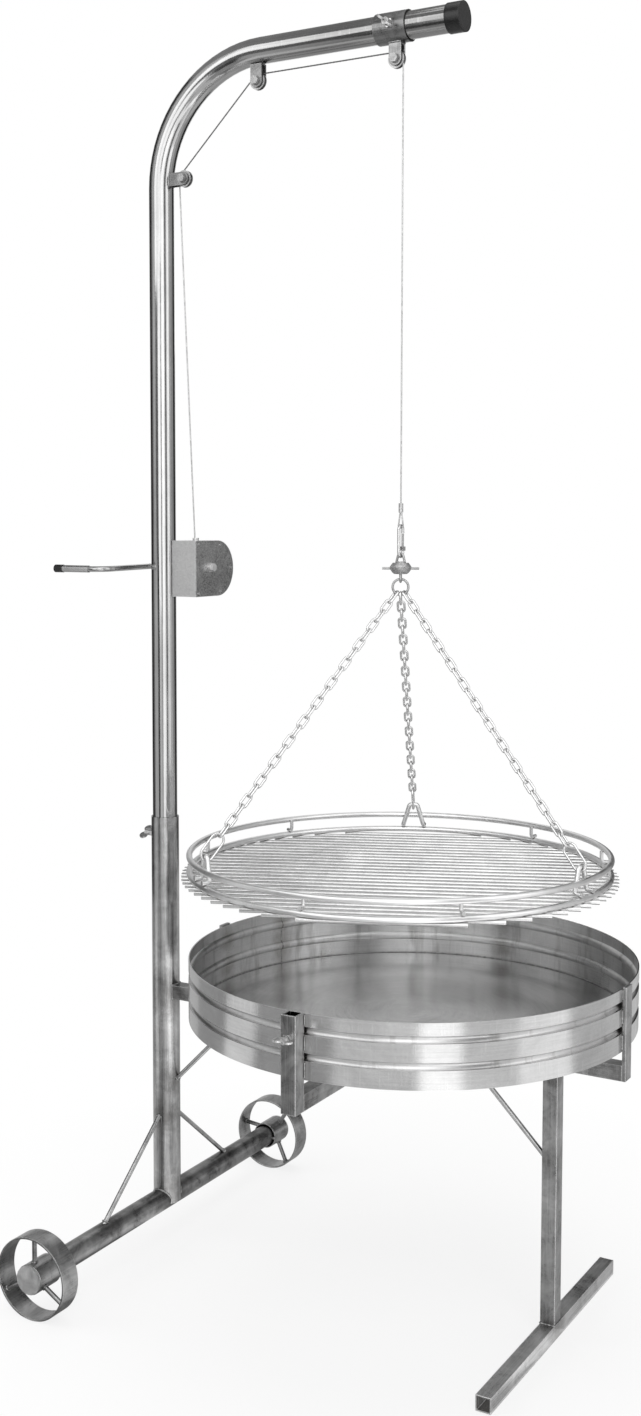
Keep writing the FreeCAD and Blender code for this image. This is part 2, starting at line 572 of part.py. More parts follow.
PLATE = "Dims.winch_gauge"
node("winch_back_plate", cut("winch_back_plate", d_block("back_blank", WINCH_BACK, PLATE, 0),
                             shaft_hole("back_hole", "Dims.bush_dia / 2", 0, "Dims.winch_depth")))
node("winch_cover", cut("winch_cover", d_block("cover_blank", f"{WINCH_FRONT} - {PLATE}", PLATE, 0),
                        shaft_hole("cover_hole", "Dims.bush_dia / 2", "Dims.drum_x", "Dims.winch_depth")))
shell_length = "Dims.winch_depth - 2 * Dims.winch_gauge"
CABLE_Y = "Dims.drum_y - Dims.drum_core - Dims.cable_dia / 2"
winch_top = "Dims.winch_level + Dims.winch_height / 2"
shell_skin = d_block("shell_skin", f"{WINCH_BACK} + {PLATE}", shell_length, 0)
guide = cylinder("cable_guide", "Dims.guide_dia / 2", "Dims.guide_height", "Dims.drum_x", CABLE_Y, winch_top)
shell_core = d_block("shell_core", f"{WINCH_BACK} - {SLACK}", f"Dims.winch_depth + 2 * {SLACK}", PLATE)
cable_way = cylinder("cable_way", "Dims.cable_hole / 2", "Dims.winch_height", "Dims.drum_x", CABLE_Y,
                     "Dims.winch_level")
node("winch_shell", cut("winch_shell", fuse("shell_blank", [shell_skin, guide]), shell_core, cable_way))

rivet_spots = [(0.06, -0.44), (0.64, -0.42), (0.94, 0.0), (0.06, 0.44), (0.64, 0.42)]
rivet_reach = "(Dims.winch_flat + Dims.winch_height / 2)"
node("winch_rivets", group("winch_rivets", [
    cylinder(f"rivet_{spot}", "Dims.pin_dia / 2", "Dims.rivet_height", WINCH_FRONT,
             f"Dims.winch_edge + {across} * {rivet_reach}",
             f"Dims.winch_level + {rise_share} * Dims.winch_height", TO_X)
    for spot, (across, rise_share) in enumerate(rivet_spots)]))

SHAFT_HOLE = "Dims.shaft_dia / 2 + Dims.running_gap"
bush_starts = [f"{WINCH_BACK} - Dims.winch_gauge", f"{WINCH_FRONT} - {PLATE}"]
node("winch_bushes", group("winch_bushes", [
    cut(f"bush_{spot}", shaft_hole(f"bush_skin_{spot}", "Dims.bush_dia / 2", start, "Dims.bush_length"),
        shaft_hole(f"bush_bore_{spot}", SHAFT_HOLE, start, "Dims.bush_length"))
    for spot, start in enumerate(bush_starts)]))
brake_start = f"{bush_starts[0]} + Dims.bush_length"
node("winch_brake", cut("winch_brake",
                        shaft_hole("brake_skin", "Dims.brake_outer", brake_start, "Dims.brake_length"),
                        shaft_hole("brake_bore", "Dims.brake_inner", brake_start, "Dims.brake_length")))

# Crank: a straight shaft through the winch, a bent arm, a loose grip and an end knob.
CRANK = (TO_MAST, "Dims.drum_y", "Dims.shaft_level")
head_start = f"{WINCH_FRONT} - {PLATE} + Dims.bush_length + Dims.side_gap"
node("crank_shaft", fuse("crank_shaft", [
    cylinder("shaft_rod", "Dims.shaft_dia / 2", f"{head_start} - Dims.shaft_back",
             "Dims.shaft_back", 0, 0, TO_X),
    hexagon("shaft_head", "Dims.nut_flats", "Dims.nut_height", head_start, 0, 0, TO_X)]), *CRANK)

shaft_radius = dim("shaft_dia") / 2
arm_plane = dim("shaft_back") + shaft_radius
tilt = math.radians(dim("crank_angle"))
handle_y = -dim("crank_reach") * math.cos(tilt)
handle_z = -dim("crank_reach") * math.sin(tilt)
arm_path = rounded_path([V(arm_plane, 0, 0), V(arm_plane, handle_y, handle_z),
                         V(dim("handle_end"), handle_y, handle_z)], dim("crank_bend"))
shaft_solid = Part.makeCylinder(shaft_radius, dim("drum_x") - dim("shaft_back"),
                                V(dim("shaft_back"), 0, 0), V(1, 0, 0))
arm_rod = swept(arm_path, shaft_radius).cut(shaft_solid)
node("crank_arm", coded("crank_arm", max(arm_rod.Solids, key=lambda solid: solid.Volume)), *CRANK)

HANDLE = (TO_MAST, "Dims.drum_y - Dims.crank_reach * cos(Dims.crank_angle * 1deg)",
          "Dims.shaft_level - Dims.crank_reach * sin(Dims.crank_angle * 1deg)")
knob_end = "Dims.handle_end - Dims.knob_gauge"
node("crank_knob", cut(
    "crank_knob",
    cylinder("knob_skin", "Dims.knob_dia / 2", f"Dims.grip_end - ({knob_end})", knob_end, 0, 0, TO_X),
    cylinder("knob_bore", "Dims.shaft_dia / 2", f"Dims.grip_end - Dims.handle_end + {SLACK}",
             "Dims.handle_end", 0, 0, TO_X)), *HANDLE)
grip_start = "Dims.grip_end + Dims.side_gap"
grip_stop = "Dims.shaft_back + Dims.shaft_dia / 2 - Dims.crank_bend - Dims.side_gap"
grip_length = f"{grip_stop} - ({grip_start})"
node("crank_grip", cut(
    "crank_grip",
    cylinder("grip_skin", "Dims.grip_dia / 2", grip_length, grip_start, 0, 0, TO_X),
    cylinder("grip_bore", "Dims.shaft_dia / 2 + Dims.grip_gap", f"{grip_length} + 2 * {SLACK}",
             f"{grip_start} - {SLACK}", 0, 0, TO_X)), *HANDLE)

drum_low = "Dims.drum_x - Dims.drum_length / 2"
drum_high = "Dims.drum_x + Dims.drum_length / 2"
drum_blank = fuse("drum_blank", [
    cylinder("drum_core", "Dims.drum_core", "Dims.drum_length", drum_low, 0, 0, TO_X),
    cylinder("drum_back", "Dims.drum_flange", "Dims.drum_gauge", f"{drum_low} - Dims.drum_gauge", 0, 0, TO_X),
    cylinder("drum_front", "Dims.drum_flange", "Dims.drum_gauge", drum_high, 0, 0, TO_X)])
node("drum", cut("drum", drum_blank,
                 cylinder("drum_bore", "Dims.shaft_dia / 2", "3 * Dims.drum_length",
                          f"{drum_low} - Dims.drum_length", 0, 0, TO_X)), *CRANK)
wound = "Dims.drum_length - Dims.cable_dia / 2"
wound_low = "Dims.drum_x - Dims.drum_length / 2 + Dims.cable_dia / 4"
node("cable_winding", cut(
    "cable_winding",
    cylinder("winding_skin", "Dims.drum_core + Dims.cable_dia", wound, wound_low, 0, 0, TO_X),
    cylinder("winding_core", "Dims.drum_core", wound, wound_low, 0, 0, TO_X)), *CRANK)

# Slider: a collar on the arm with a bracket and sheave below it.
collar_length = "(Dims.collar_back + Dims.collar_front)"
collar_tube = tube("collar_tube", "Dims.sleeve_od", "Dims.tube_wall", collar_length,
                   "Dims.slider_x - Dims.collar_back", 0, "Dims.arm_level", TO_X)
collar_hole = cylinder("collar_hole", BOLT_HOLE, "Dims.sleeve_od / 2", "Dims.slider_x", "-Dims.sleeve_od / 4",
                       "Dims.arm_level", TO_MINUS_Y)
node("collar", cut("collar", collar_tube, collar_hole))


def collar_bar(name):
    return cylinder(name, "Dims.sleeve_od / 2", collar_length, "Dims.slider_x - Dims.collar_back",
                    0, "Dims.arm_level", TO_X)


node("collar_nut", cut(
    "collar_nut",
    nut("collar_nut_blank", "Dims.slider_x", f"-Dims.sleeve_od / 2 + {COPE}", "Dims.arm_level", TO_MINUS_Y),
    collar_bar("collar_nut_cope")))
collar_foot = "Dims.arm_level - Dims.sleeve_od / 2"
node("slider_bracket", cut(
    "slider_bracket",
    bracket("slider_blank", f"{collar_foot} - Dims.sheave_level", "Dims.slider_x", collar_foot, DOWN),
    collar_bar("slider_cope")))
node("slider_bolt", group("slider_bolt", bolt("slider_pulley", "Dims.slider_x", "Dims.sheave_level")))

# Cable: straight runs that touch the sheaves, and arcs of the sheaves' own turning radius.
cable = dim("cable_dia") / 2
turn_radius = dim("cable_turn_radius")
first_sheave = V(dim("mast_sheave_out"), 0, dim("mast_sheave_level"))
second_sheave = V(dim("arm_sheave_x"), 0, dim("sheave_level"))
third_sheave = V(dim("slider_x"), 0, dim("sheave_level"))
drum_side = dim("drum_y") - dim("drum_core") - cable
leave = V(dim("drum_x"), drum_side, dim("shaft_level") + dim("cable_rise"))


def turned_left(vector, angle):
    """A vector in the XZ plane turned from +X towards +Z."""
    sine = math.sin(angle)
    cosine = math.cos(angle)
    return V(vector.x * cosine - vector.z * sine, 0, vector.x * sine + vector.z * cosine)


climb = first_sheave - V(leave.x, 0, leave.z)
lean = math.asin(turn_radius / climb.Length)
run = math.sqrt(climb.Length ** 2 - turn_radius ** 2)
first_touch = V(leave.x, 0, leave.z) + turned_left(climb / climb.Length, lean) * run
across = second_sheave - first_sheave
outward = turned_left(across / across.Length, math.pi / 2)


def sheave_arc(centre, start_way, end_way):
    middle = (start_way + end_way).normalize()
    return Part.Arc(centre + start_way * turn_radius, centre + middle * turn_radius,
                    centre + end_way * turn_radius).toShape()


start_way = (first_touch - first_sheave) / turn_radius
mast_path = Part.Wire([
    sheave_arc(first_sheave, start_way, outward),
    Part.LineSegment(first_sheave + outward * turn_radius, second_sheave + outward * turn_radius).toShape(),
    sheave_arc(second_sheave, outward, V(0, 0, 1))])
up_run = Part.makeCylinder(cable, (first_touch - leave).Length, leave, first_touch - leave)
node("cable_mast_run", coded("cable_mast_run", Part.makeCompound([up_run, swept(mast_path, cable)])))

arm_path = Part.Wire([
    Part.LineSegment(second_sheave + V(0, 0, turn_radius), third_sheave + V(0, 0, turn_radius)).toShape(),
    sheave_arc(third_sheave, V(0, 0, 1), V(1, 0, 0))])
node("cable_arm_run", coded("cable_arm_run", swept(arm_path, cable)))

LIFT_X = f"{TO_MAST} + {DROP_X}"
node("cable_drop", cylinder("cable_drop", "Dims.cable_dia / 2", "Dims.sheave_level - Dims.ferrule_top"),
     LIFT_X, 0, "Dims.ferrule_top")
print("cable radius", cable, "sheave turns", turn_radius, "mast path", round(mast_path.Length, 1),
      "up run", round((first_touch - leave).Length, 1), "arm path", round(arm_path.Length, 1))

# Cable end: a pressed ferrule and a small loop that hangs in the hook.
hook_wire = dim("hook_dia") / 2
hook_top = dim("hook_bottom") + dim("hook_span")
loop_low = hook_top - hook_wire - cable - dim("link_gap")
ferrule_low = dim("ferrule_top") - dim("ferrule_length")
loop_half = dim("cable_eye_width") / 2 - cable
loop_path = Part.Wire([
    Part.LineSegment(V(-cable, 0, ferrule_low), V(-loop_half, 0, loop_low + loop_half)).toShape(),
    Part.Arc(V(-loop_half, 0, loop_low + loop_half), V(0, 0, loop_low),
             V(loop_half, 0, loop_low + loop_half)).toShape(),
    Part.LineSegment(V(loop_half, 0, loop_low + loop_half), V(cable, 0, ferrule_low)).toShape()])
cut_side = 4 * loop_half
loop_cut = Part.makeBox(cut_side, cut_side, cut_side, V(-cut_side / 2, -cut_side / 2, ferrule_low))
ferrule = Part.makeCylinder(dim("ferrule_dia") / 2, dim("ferrule_length"), V(0, 0, ferrule_low))
loop = swept(loop_path, cable).cut(loop_cut)
node("cable_end", coded("cable_end", Part.makeCompound([ferrule, loop])), LIFT_X)

# Snap hook: an oval of round rod in the YZ plane, open on its +Y side, where the gate hangs on a pin.
hook_turn = dim("hook_radius")
low_turn = dim("hook_bottom") + hook_turn
high_turn = hook_top - hook_turn
mouth_middle = (low_turn + high_turn) / 2
gate_half = dim("gate_length") / 2
fork_top = mouth_middle - gate_half + dim("fork_height") / 2
fork_low = fork_top - dim("fork_height")
mouth_top = mouth_middle + gate_half + dim("side_gap")
hook_path = Part.Wire([
    Part.LineSegment(V(0, hook_turn, fork_low), V(0, hook_turn, low_turn)).toShape(),
    Part.Arc(V(0, hook_turn, low_turn), V(0, 0, dim("hook_bottom")), V(0, -hook_turn, low_turn)).toShape(),
    Part.LineSegment(V(0, -hook_turn, low_turn), V(0, -hook_turn, high_turn)).toShape(),
    Part.Arc(V(0, -hook_turn, high_turn), V(0, 0, hook_top), V(0, hook_turn, high_turn)).toShape(),
    Part.LineSegment(V(0, hook_turn, high_turn), V(0, hook_turn, mouth_top)).toShape()])
fork_width = dim("fork_width")
slot = dim("gate_dia") + 2 * dim("side_gap")
fork = Part.makeBox(fork_width, fork_width, dim("fork_height"),
                    V(-fork_width / 2, hook_turn - fork_width / 2, fork_low))
fork = fork.cut(Part.makeBox(slot, 2 * fork_width, dim("fork_height"),
                             V(-slot / 2, hook_turn - fork_width, fork_low + hook_wire / 2)))
pin_level = (fork_low + hook_wire / 2 + fork_top) / 2
pin_radius = dim("gate_pin_dia") / 2


def gate_pin(pin_size):
    return Part.makeCylinder(pin_size, fork_width, V(-fork_width / 2, hook_turn, pin_level), V(1, 0, 0))


hook_solid = swept(hook_path, hook_wire).fuse(fork).cut(gate_pin(pin_radius)).removeSplitter()
node("snap_hook", coded("snap_hook", Part.makeCompound([hook_solid, gate_pin(pin_radius)])), LIFT_X)
gate_radius = dim("gate_dia") / 2
gate = Part.makeCylinder(gate_radius, mouth_top - dim("side_gap") - pin_level, V(0, hook_turn, pin_level))
gate = gate.fuse(Part.makeSphere(gate_radius, V(0, hook_turn, pin_level)))
gate = gate.cut(gate_pin(pin_radius + dim("running_gap"))).removeSplitter()
node("snap_gate", coded("snap_gate", gate), LIFT_X)

# Swivel: an upper and a lower dish. The lower one turns on a headed pin inside the upper one.
eye = dim("eye_dia") / 2
level = dim("swivel_level")
top_face = level + dim("swivel_gap") / 2
low_face = level - dim("swivel_gap") / 2
upper_rise = dim("upper_dish_rise")
lower_rise = dim("lower_dish_rise")


def dish(face, rise, waist, end):
    """A solid dish. Its wide face is level, and its side curves in to a smaller flat end."""
    rim = V(dim("swivel_radius"), 0, face)
    edge = V(end, 0, face + rise)
    outline = Part.Wire([
        Part.LineSegment(V(0, 0, face), rim).toShape(),
        Part.Arc(rim, V(waist, 0, face + rise / 2), edge).toShape(),
        Part.LineSegment(edge, V(0, 0, face + rise)).toShape(),
        Part.LineSegment(V(0, 0, face + rise), V(0, 0, face)).toShape()])
    return Part.Face(outline).revolve(V(0, 0, 0), V(0, 0, 1), 360)


pin_size = dim("swivel_pin_dia") / 2
head_size = dim("swivel_head_dia") / 2
gap = dim("side_gap")
head_low = low_face + dim("swivel_head_low") + gap
head_rise = dim("swivel_head_rise")
room = Part.makeCylinder(head_size + gap, head_rise + 2 * gap, V(0, 0, head_low - gap))
eye_half = dim("swivel_eye")
eye_top = dim("hook_bottom") + hook_wire + eye + dim("link_gap")
plate_top = top_face + upper_rise + dim("eye_plate_rise")
eye_plate = Part.makeCylinder(dim("eye_plate_dia") / 2, dim("eye_plate_rise"), V(0, 0, top_face + upper_rise))
eye_foot = plate_top - dim("eye_sink")
flare = math.radians(dim("eye_flare_angle"))
shoulder = eye_half * math.cos(flare)
shoulder_level = eye_top - eye_half * (1 - math.sin(flare))
foot_half = shoulder + (shoulder_level - eye_foot) * math.tan(flare)
eye_path = Part.Wire([
    Part.LineSegment(V(-foot_half, 0, eye_foot), V(-shoulder, 0, shoulder_level)).toShape(),
    Part.Arc(V(-shoulder, 0, shoulder_level), V(0, 0, eye_top), V(shoulder, 0, shoulder_level)).toShape(),
    Part.LineSegment(V(shoulder, 0, shoulder_level), V(foot_half, 0, eye_foot)).toShape()])
upper_dish = dish(top_face, upper_rise, dim("upper_dish_waist"), dim("upper_dish_end"))
upper_dish = upper_dish.fuse([eye_plate, swept(eye_path, eye)]).cut(room).cut(
    Part.makeCylinder(pin_size + dim("running_gap"), head_low - level + gap, V(0, 0, level)))
node("swivel_top", coded("swivel_top", upper_dish.removeSplitter()), LIFT_X)

grate_angle = dim("grate_angle")
ring_way = polar(1, grate_angle - 90)
eye_way = polar(1, grate_angle)
low_eye = dim("lower_eye")
low_eye_level = level - dim("lower_eye_drop")
low_eye_start = low_face - lower_rise + eye
low_eye_path = Part.Wire([
    Part.LineSegment(eye_way * -low_eye + V(0, 0, low_eye_start),
                     eye_way * -low_eye + V(0, 0, low_eye_level + low_eye)).toShape(),
    Part.Arc(eye_way * -low_eye + V(0, 0, low_eye_level + low_eye), V(0, 0, low_eye_level),
             eye_way * low_eye + V(0, 0, low_eye_level + low_eye)).toShape(),
    Part.LineSegment(eye_way * low_eye + V(0, 0, low_eye_level + low_eye),
                     eye_way * low_eye + V(0, 0, low_eye_start)).toShape()])
bar_level = level - dim("swivel_bar_drop")
bar_half = dim("swivel_bar_length") / 2
bar_start = ring_way * -bar_half + V(0, 0, bar_level)
bar = Part.makeCylinder(dim("swivel_bar_dia") / 2, 2 * bar_half, bar_start, ring_way)
pin_stem = Part.makeCylinder(pin_size, head_low + head_rise - low_face, V(0, 0, low_face))
pin_head = Part.makeCylinder(head_size, head_rise, V(0, 0, head_low))
lower_dish = dish(low_face, -lower_rise, dim("lower_dish_waist"), dim("lower_dish_end"))
lower_dish = lower_dish.fuse([pin_stem, pin_head, swept(low_eye_path, eye)])
node("swivel_bottom", coded("swivel_bottom", lower_dish.cut(bar).removeSplitter()), LIFT_X)
node("swivel_bar", coded("swivel_bar", bar), LIFT_X)

ring_wire = dim("chain_wire") / 2
ring_radius = dim("ring_radius")
ring_level = low_eye_level + eye + ring_wire + dim("link_gap") - ring_radius
ring_middle = V(0, 0, ring_level)
node("chain_ring", coded("chain_ring", Part.makeTorus(ring_radius, ring_wire, ring_middle, eye_way)), LIFT_X)

# Three chains fan out from the ring to long end links on the grate's bows.
wire = dim("chain_wire")
loose = dim("link_gap")
end_length = dim("end_link_length")
end_shape = long_link(end_length, dim("end_link_width"), wire)
bow_rod = dim("bow_dia") / 2
bow_top = dim("grate_level") + dim("bow_rise")
links = []
end_links = []
for way, extra, bow_angle in ((0, 1, grate_angle), (-1, 0, grate_angle + 120), (1, 0, grate_angle - 120)):
    count = int(dim("chain_links")) + extra
    fan = math.radians(way * dim("fan_angle"))
    start = ring_middle + (ring_way * math.sin(fan) - V(0, 0, math.cos(fan))) * ring_radius
    end = polar(dim("bow_radius"), bow_angle, bow_top)
    along = (end - start).normalize()
    span = (end - start).Length
    inner = (span - end_length + 3 * wire / 2 + (count + 2) * loose + bow_rod - wire) / count
    sideways = polar(1, bow_angle + 90)
    upright = sideways.cross(along)
    link = long_link(inner, dim("chain_width"), wire)
    spot = inner / 2 - wire / 2 - loose
    for number in range(count):
        normal = upright if (count - number) % 2 else sideways
        links.append(set_down(link, start + along * spot, along, normal))
        spot += inner - loose
    spot += loose - wire / 2 - loose - inner / 2 + wire / 2 + end_length / 2
    end_links.append(set_down(end_shape, start + along * spot, along, sideways))
    print("chain", way, "inner length", round(inner, 2), "span", round(span, 1))
node("chains", coded("chains", Part.makeCompound(links)), LIFT_X)
node("end_links", coded("end_links", Part.makeCompound(end_links)), LIFT_X)

# Grate: parallel bars under a rod ring, and a second ring above it on short posts.
RAIL = "Dims.grate_level + Dims.grate_rail"
node("grate_rings", group("grate_rings", [
    torus("ring_low", "Dims.grate_radius", "Dims.grate_rod / 2", z="Dims.grate_level"),
    torus("ring_high", "Dims.grate_radius", "Dims.grate_rod / 2", z=RAIL)]), LIFT_X)
bar_radius = dim("bar_dia") / 2
grate_rod = dim("grate_rod") / 2
grate_level = dim("grate_level")
bar_way = polar(1, grate_angle - 90)
bar_step = polar(1, grate_angle)
bars_a_side = int((dim("grate_radius") - dim("bar_edge")) / dim("bar_pitch") + 0.5)
bars = []
for number in range(2 * bars_a_side):
    offset = (number - bars_a_side + 0.5) * dim("bar_pitch")
    half = math.sqrt(dim("grate_radius") ** 2 - offset ** 2) + dim("bar_over")
    start = bar_step * offset - bar_way * half + V(0, 0, grate_level - grate_rod - bar_radius)
    bars.append(Part.makeCylinder(bar_radius, 2 * half, start, bar_way))
node("grate_bars", coded("grate_bars", Part.makeCompound(bars)), LIFT_X)


def rail_frame(angle, sideways, out, height):
    """A point by its place beside, out from and above the grate's middle at one angle."""
    return polar(out, angle, height) + polar(sideways, angle + 90)


bow_foot = dim("bow_foot")
bow_head = dim("bow_head")
bow_out = dim("bow_radius")
bow_low = grate_level + grate_rod + bow_rod
bows = []
for number in range(3):
    angle = grate_angle + 120 * number
    corners = [(-bow_foot, bow_out + dim("foot_out"), bow_low), (-bow_foot, bow_out, bow_low),
               (-bow_head, bow_out, bow_top), (bow_head, bow_out, bow_top),
               (bow_foot, bow_out, bow_low), (bow_foot, bow_out + dim("foot_out"), bow_low)]
    bow_path = rounded_path([rail_frame(angle, *corner) for corner in corners], dim("bow_bend"))
    bows.append(swept(bow_path, bow_rod))
node("grate_bows", coded("grate_bows", Part.makeCompound(bows)), LIFT_X)

post_rod = dim("post_dia") / 2
post_low = grate_level + grate_rod + post_rod
post_high = grate_level + dim("grate_rail")
posts = []
for number in range(3):
    for way in (-1, 1):
        angle = grate_angle + 120 * number + way * dim("post_angle")
        corners = [(0, dim("post_radius") + dim("foot_out"), post_low), (0, dim("post_radius"), post_low),
                   (0, dim("post_radius"), post_high)]
        posts.append(swept(rounded_path([rail_frame(angle, *corner) for corner in corners],
                                        dim("post_bend")), post_rod))
node("grate_posts", coded("grate_posts", Part.makeCompound(posts)), LIFT_X)

doc.recompute()
for obj in doc.Objects:
    if "Invalid" in obj.State or "Error" in obj.State:
        raise RuntimeError(f"{obj.Label} did not build: {obj.State}")
os.makedirs("parts", exist_ok=True)
for obj in nodes:
    if obj.Shape.isNull() or not obj.Shape.isValid():
        raise RuntimeError(f"{obj.Label} has no valid shape")
    obj.Shape.exportStep(f"parts/{obj.Label}.step")
    low = obj.Shape.BoundBox
    print(f"{obj.Label}: {len(obj.Shape.Solids)} solids, {obj.Shape.Volume / 1000:.1f} cm3,",
          f"x {low.XMin:.1f} to {low.XMax:.1f}, y {low.YMin:.1f} to {low.YMax:.1f},",
          f"z {low.ZMin:.1f} to {low.ZMax:.1f}")
print(len(nodes), "sub-parts written")
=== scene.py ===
# %% [markdown]
# # A swivel grill, dressed for its picture
# The model that comes in is a wheeled steel frame with a fire pan, a bent mast that turns in a
# sleeve, and a round grate that a crank winch lifts on a cable. Its shapes are finished, so this
# lesson is about the rest: the camera, the cable's strands, the weld beads and the finishes.
# Nothing added later may make the object bigger.

# %% Load the imported model
import math

import bpy
import bmesh
from mathutils import Matrix, Vector


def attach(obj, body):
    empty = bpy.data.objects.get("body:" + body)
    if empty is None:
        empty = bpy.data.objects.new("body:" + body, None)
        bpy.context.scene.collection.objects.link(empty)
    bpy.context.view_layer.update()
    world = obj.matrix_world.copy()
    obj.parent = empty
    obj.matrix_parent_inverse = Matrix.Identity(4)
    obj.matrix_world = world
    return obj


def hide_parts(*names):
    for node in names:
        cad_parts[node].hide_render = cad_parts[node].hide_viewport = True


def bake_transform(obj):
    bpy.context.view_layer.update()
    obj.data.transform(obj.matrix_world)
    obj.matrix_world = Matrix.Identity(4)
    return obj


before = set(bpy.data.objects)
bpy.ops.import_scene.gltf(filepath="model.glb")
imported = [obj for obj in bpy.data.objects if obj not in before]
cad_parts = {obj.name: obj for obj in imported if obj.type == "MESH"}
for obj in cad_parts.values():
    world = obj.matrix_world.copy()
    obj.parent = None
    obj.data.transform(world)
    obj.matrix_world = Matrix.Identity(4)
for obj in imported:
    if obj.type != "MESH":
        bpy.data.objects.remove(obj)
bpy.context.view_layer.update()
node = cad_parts

# %% [markdown]
# ## The camera
# The photograph was taken from chest height, about three metres away and thirty degrees round from
# the side of the grill. A camera's direction can be set with angles, but a heading built from three
# axes is easier to check, so the view axis, the side axis and the up axis go into one matrix.

# %% Camera
camera_spot = (0.9528, -2.3723, 1.3229)
heading, dip, roll = math.radians(30.29), math.radians(4.32), math.radians(-0.09)
ahead = Vector((-math.sin(heading) * math.cos(dip), math.cos(heading) * math.cos(dip), -math.sin(dip)))
level_side = ahead.cross(Vector((0, 0, 1))).normalized()
side = Matrix.Rotation(roll, 3, ahead) @ level_side
up = side.cross(ahead)

lens = bpy.data.cameras.new("view")
lens.sensor_fit = "VERTICAL"
lens.sensor_height = 36
lens.lens = 41.11
lens.shift_y = -0.048
camera = bpy.data.objects.new("view", lens)
turn = Matrix((side, up, -ahead)).transposed().to_4x4()
camera.matrix_world = Matrix.Translation(camera_spot) @ turn
bpy.context.scene.collection.objects.link(camera)
bpy.context.scene.camera = camera
print("camera looks along", [round(value, 3) for value in ahead])

# %% [markdown]
# ## The cable
# The hoist cable is wire rope, and it runs from the winch over three sheaves to the hook. Its route
# is a NURBS curve, because such a curve eases round a sheave by itself. The strands have to follow
# that curve exactly, so its points are read back from the curve.

# %% Points of a route
CURVE_ORDER = 3


def route_points(name, corners, fineness):
    """Points along a smooth curve that has the corners as its control points."""
    curve = bpy.data.curves.new(name, "CURVE")
    curve.dimensions = "3D"
    spline = curve.splines.new("NURBS")
    spline.points.add(len(corners) - 1)
    for point, corner in zip(spline.points, corners):
        point.co = (*corner, 1)
    spline.order_u = CURVE_ORDER
    spline.use_endpoint_u = True
    spline.resolution_u = fineness
    line = bpy.data.objects.new(name, curve)
    bpy.context.scene.collection.objects.link(line)
    drawn = bpy.data.meshes.new_from_object(line)
    points = [vertex.co.copy() for vertex in drawn.vertices]
    bpy.data.objects.remove(line)
    bpy.data.meshes.remove(drawn)
    return points


trial = route_points("trial_route", [(0, 0, 0), (0, 0, 1), (0, 0, 2)], 8)
print("three control points give", len(trial), "points along the curve")

# %% [markdown]
# A tube is swept along such points: a ring of vertices at each of them, square to the way ahead. Each
# ring starts from the direction of the one before, so that the tube has no twist of its own. The
# radius is asked for at every vertex, so the same sweep can lay strands and, later on, weld beads.

# %% Rings of a sweep
RING_SIDES = 12


def spoke(across, third, turn):
    """A direction that is turned from the first axis towards the second."""
    return across * math.cos(turn) + third * math.sin(turn)


def laid_rings(shape, points, section, closed):
    """Rings of vertices along points. section(distance, turn) gives the radius, turn by turn."""
    rings = []
    distance = 0
    across = (points[1] - points[0]).orthogonal().normalized()
    count = len(points)
    for number, point in enumerate(points):
        before = points[number - 1] if number or closed else point
        after = points[(number + 1) % count] if number + 1 < count or closed else point
        along = (after - before).normalized()
        across = (across - along * across.dot(along)).normalized()
        third = along.cross(across)
        if number:
            distance += (point - points[number - 1]).length
        turns = [2 * math.pi * step / RING_SIDES for step in range(RING_SIDES)]
        rings.append([shape.verts.new(point + spoke(across, third, turn) * section(distance, turn))
                      for turn in turns])
    return rings


print("a ring has", RING_SIDES, "sides")

# %% [markdown]
# Faces from ring to ring make the skin. A closed sweep joins its last ring to its first, and an open
# one gets a lid at each end, so that no edge is left loose.

# %% Skin of a sweep


def finished(name, shape):
    """An object in the scene, made from a bmesh."""
    mesh = bpy.data.meshes.new(name)
    shape.to_mesh(mesh)
    shape.free()
    piece = bpy.data.objects.new(name, mesh)
    bpy.context.scene.collection.objects.link(piece)
    return piece


def swept_mesh(name, points, section, closed=False):
    """A tube along points."""
    shape = bmesh.new()
    rings = laid_rings(shape, points, section, closed)
    pairs = list(zip(rings, rings[1:])) + ([(rings[-1], rings[0])] if closed else [])
    for first, second in pairs:
        for step in range(RING_SIDES):
            beside = (step + 1) % RING_SIDES
            shape.faces.new((first[step], first[beside], second[beside], second[step]))
    if not closed:
        shape.faces.new(rings[0][::-1])
        shape.faces.new(rings[-1])
    for face in shape.faces:
        face.smooth = True
    return finished(name, shape)


plain_tube = swept_mesh("trial_tube", trial, lambda distance, turn: 0.01)
print("a plain tube along the trial route has", len(plain_tube.data.polygons), "faces")
bpy.data.meshes.remove(plain_tube.data)

# %% [markdown]
# A plain tube would shine like a rod. Wire rope has six strands laid round each other, so its section
# has six lobes, and they turn as they go along: once round for every lay length.

# %% Section of the wire rope
ROPE_RADIUS = 0.00125
STRANDS = 6
LAY_LENGTH = 0.016
LOBE = 0.08


def strand_section(distance, turn):
    lobe = math.cos(STRANDS * (turn - 2 * math.pi * distance / LAY_LENGTH))
    return ROPE_RADIUS * (1 - LOBE + LOBE * lobe)


def wire_rope(name, corners, fineness):
    points = route_points(name, corners, fineness)
    return swept_mesh(name, points, strand_section), points


print("rope with", STRANDS, "strands, radius", ROPE_RADIUS, "m")

# %% [markdown]
# The cable has four stretches, because each one moves with something else. It climbs the mast, it
# runs along the arm to the sliding sheave, it bends over that sheave and it drops to the hook.

# %% Four stretches of cable
LEAVES_WINCH = (-0.70000, 0.01475, 1.24650)
OVER_ARM_SHEAVE = (-0.55700, 0, 2.07350)
OVER_SLIDER_SHEAVE = (-0.29150, 0, 2.07350)
LEAVES_SHEAVE = (-0.28000, 0, 2.06200)
FERRULE = (-0.28000, 0, 1.34700)

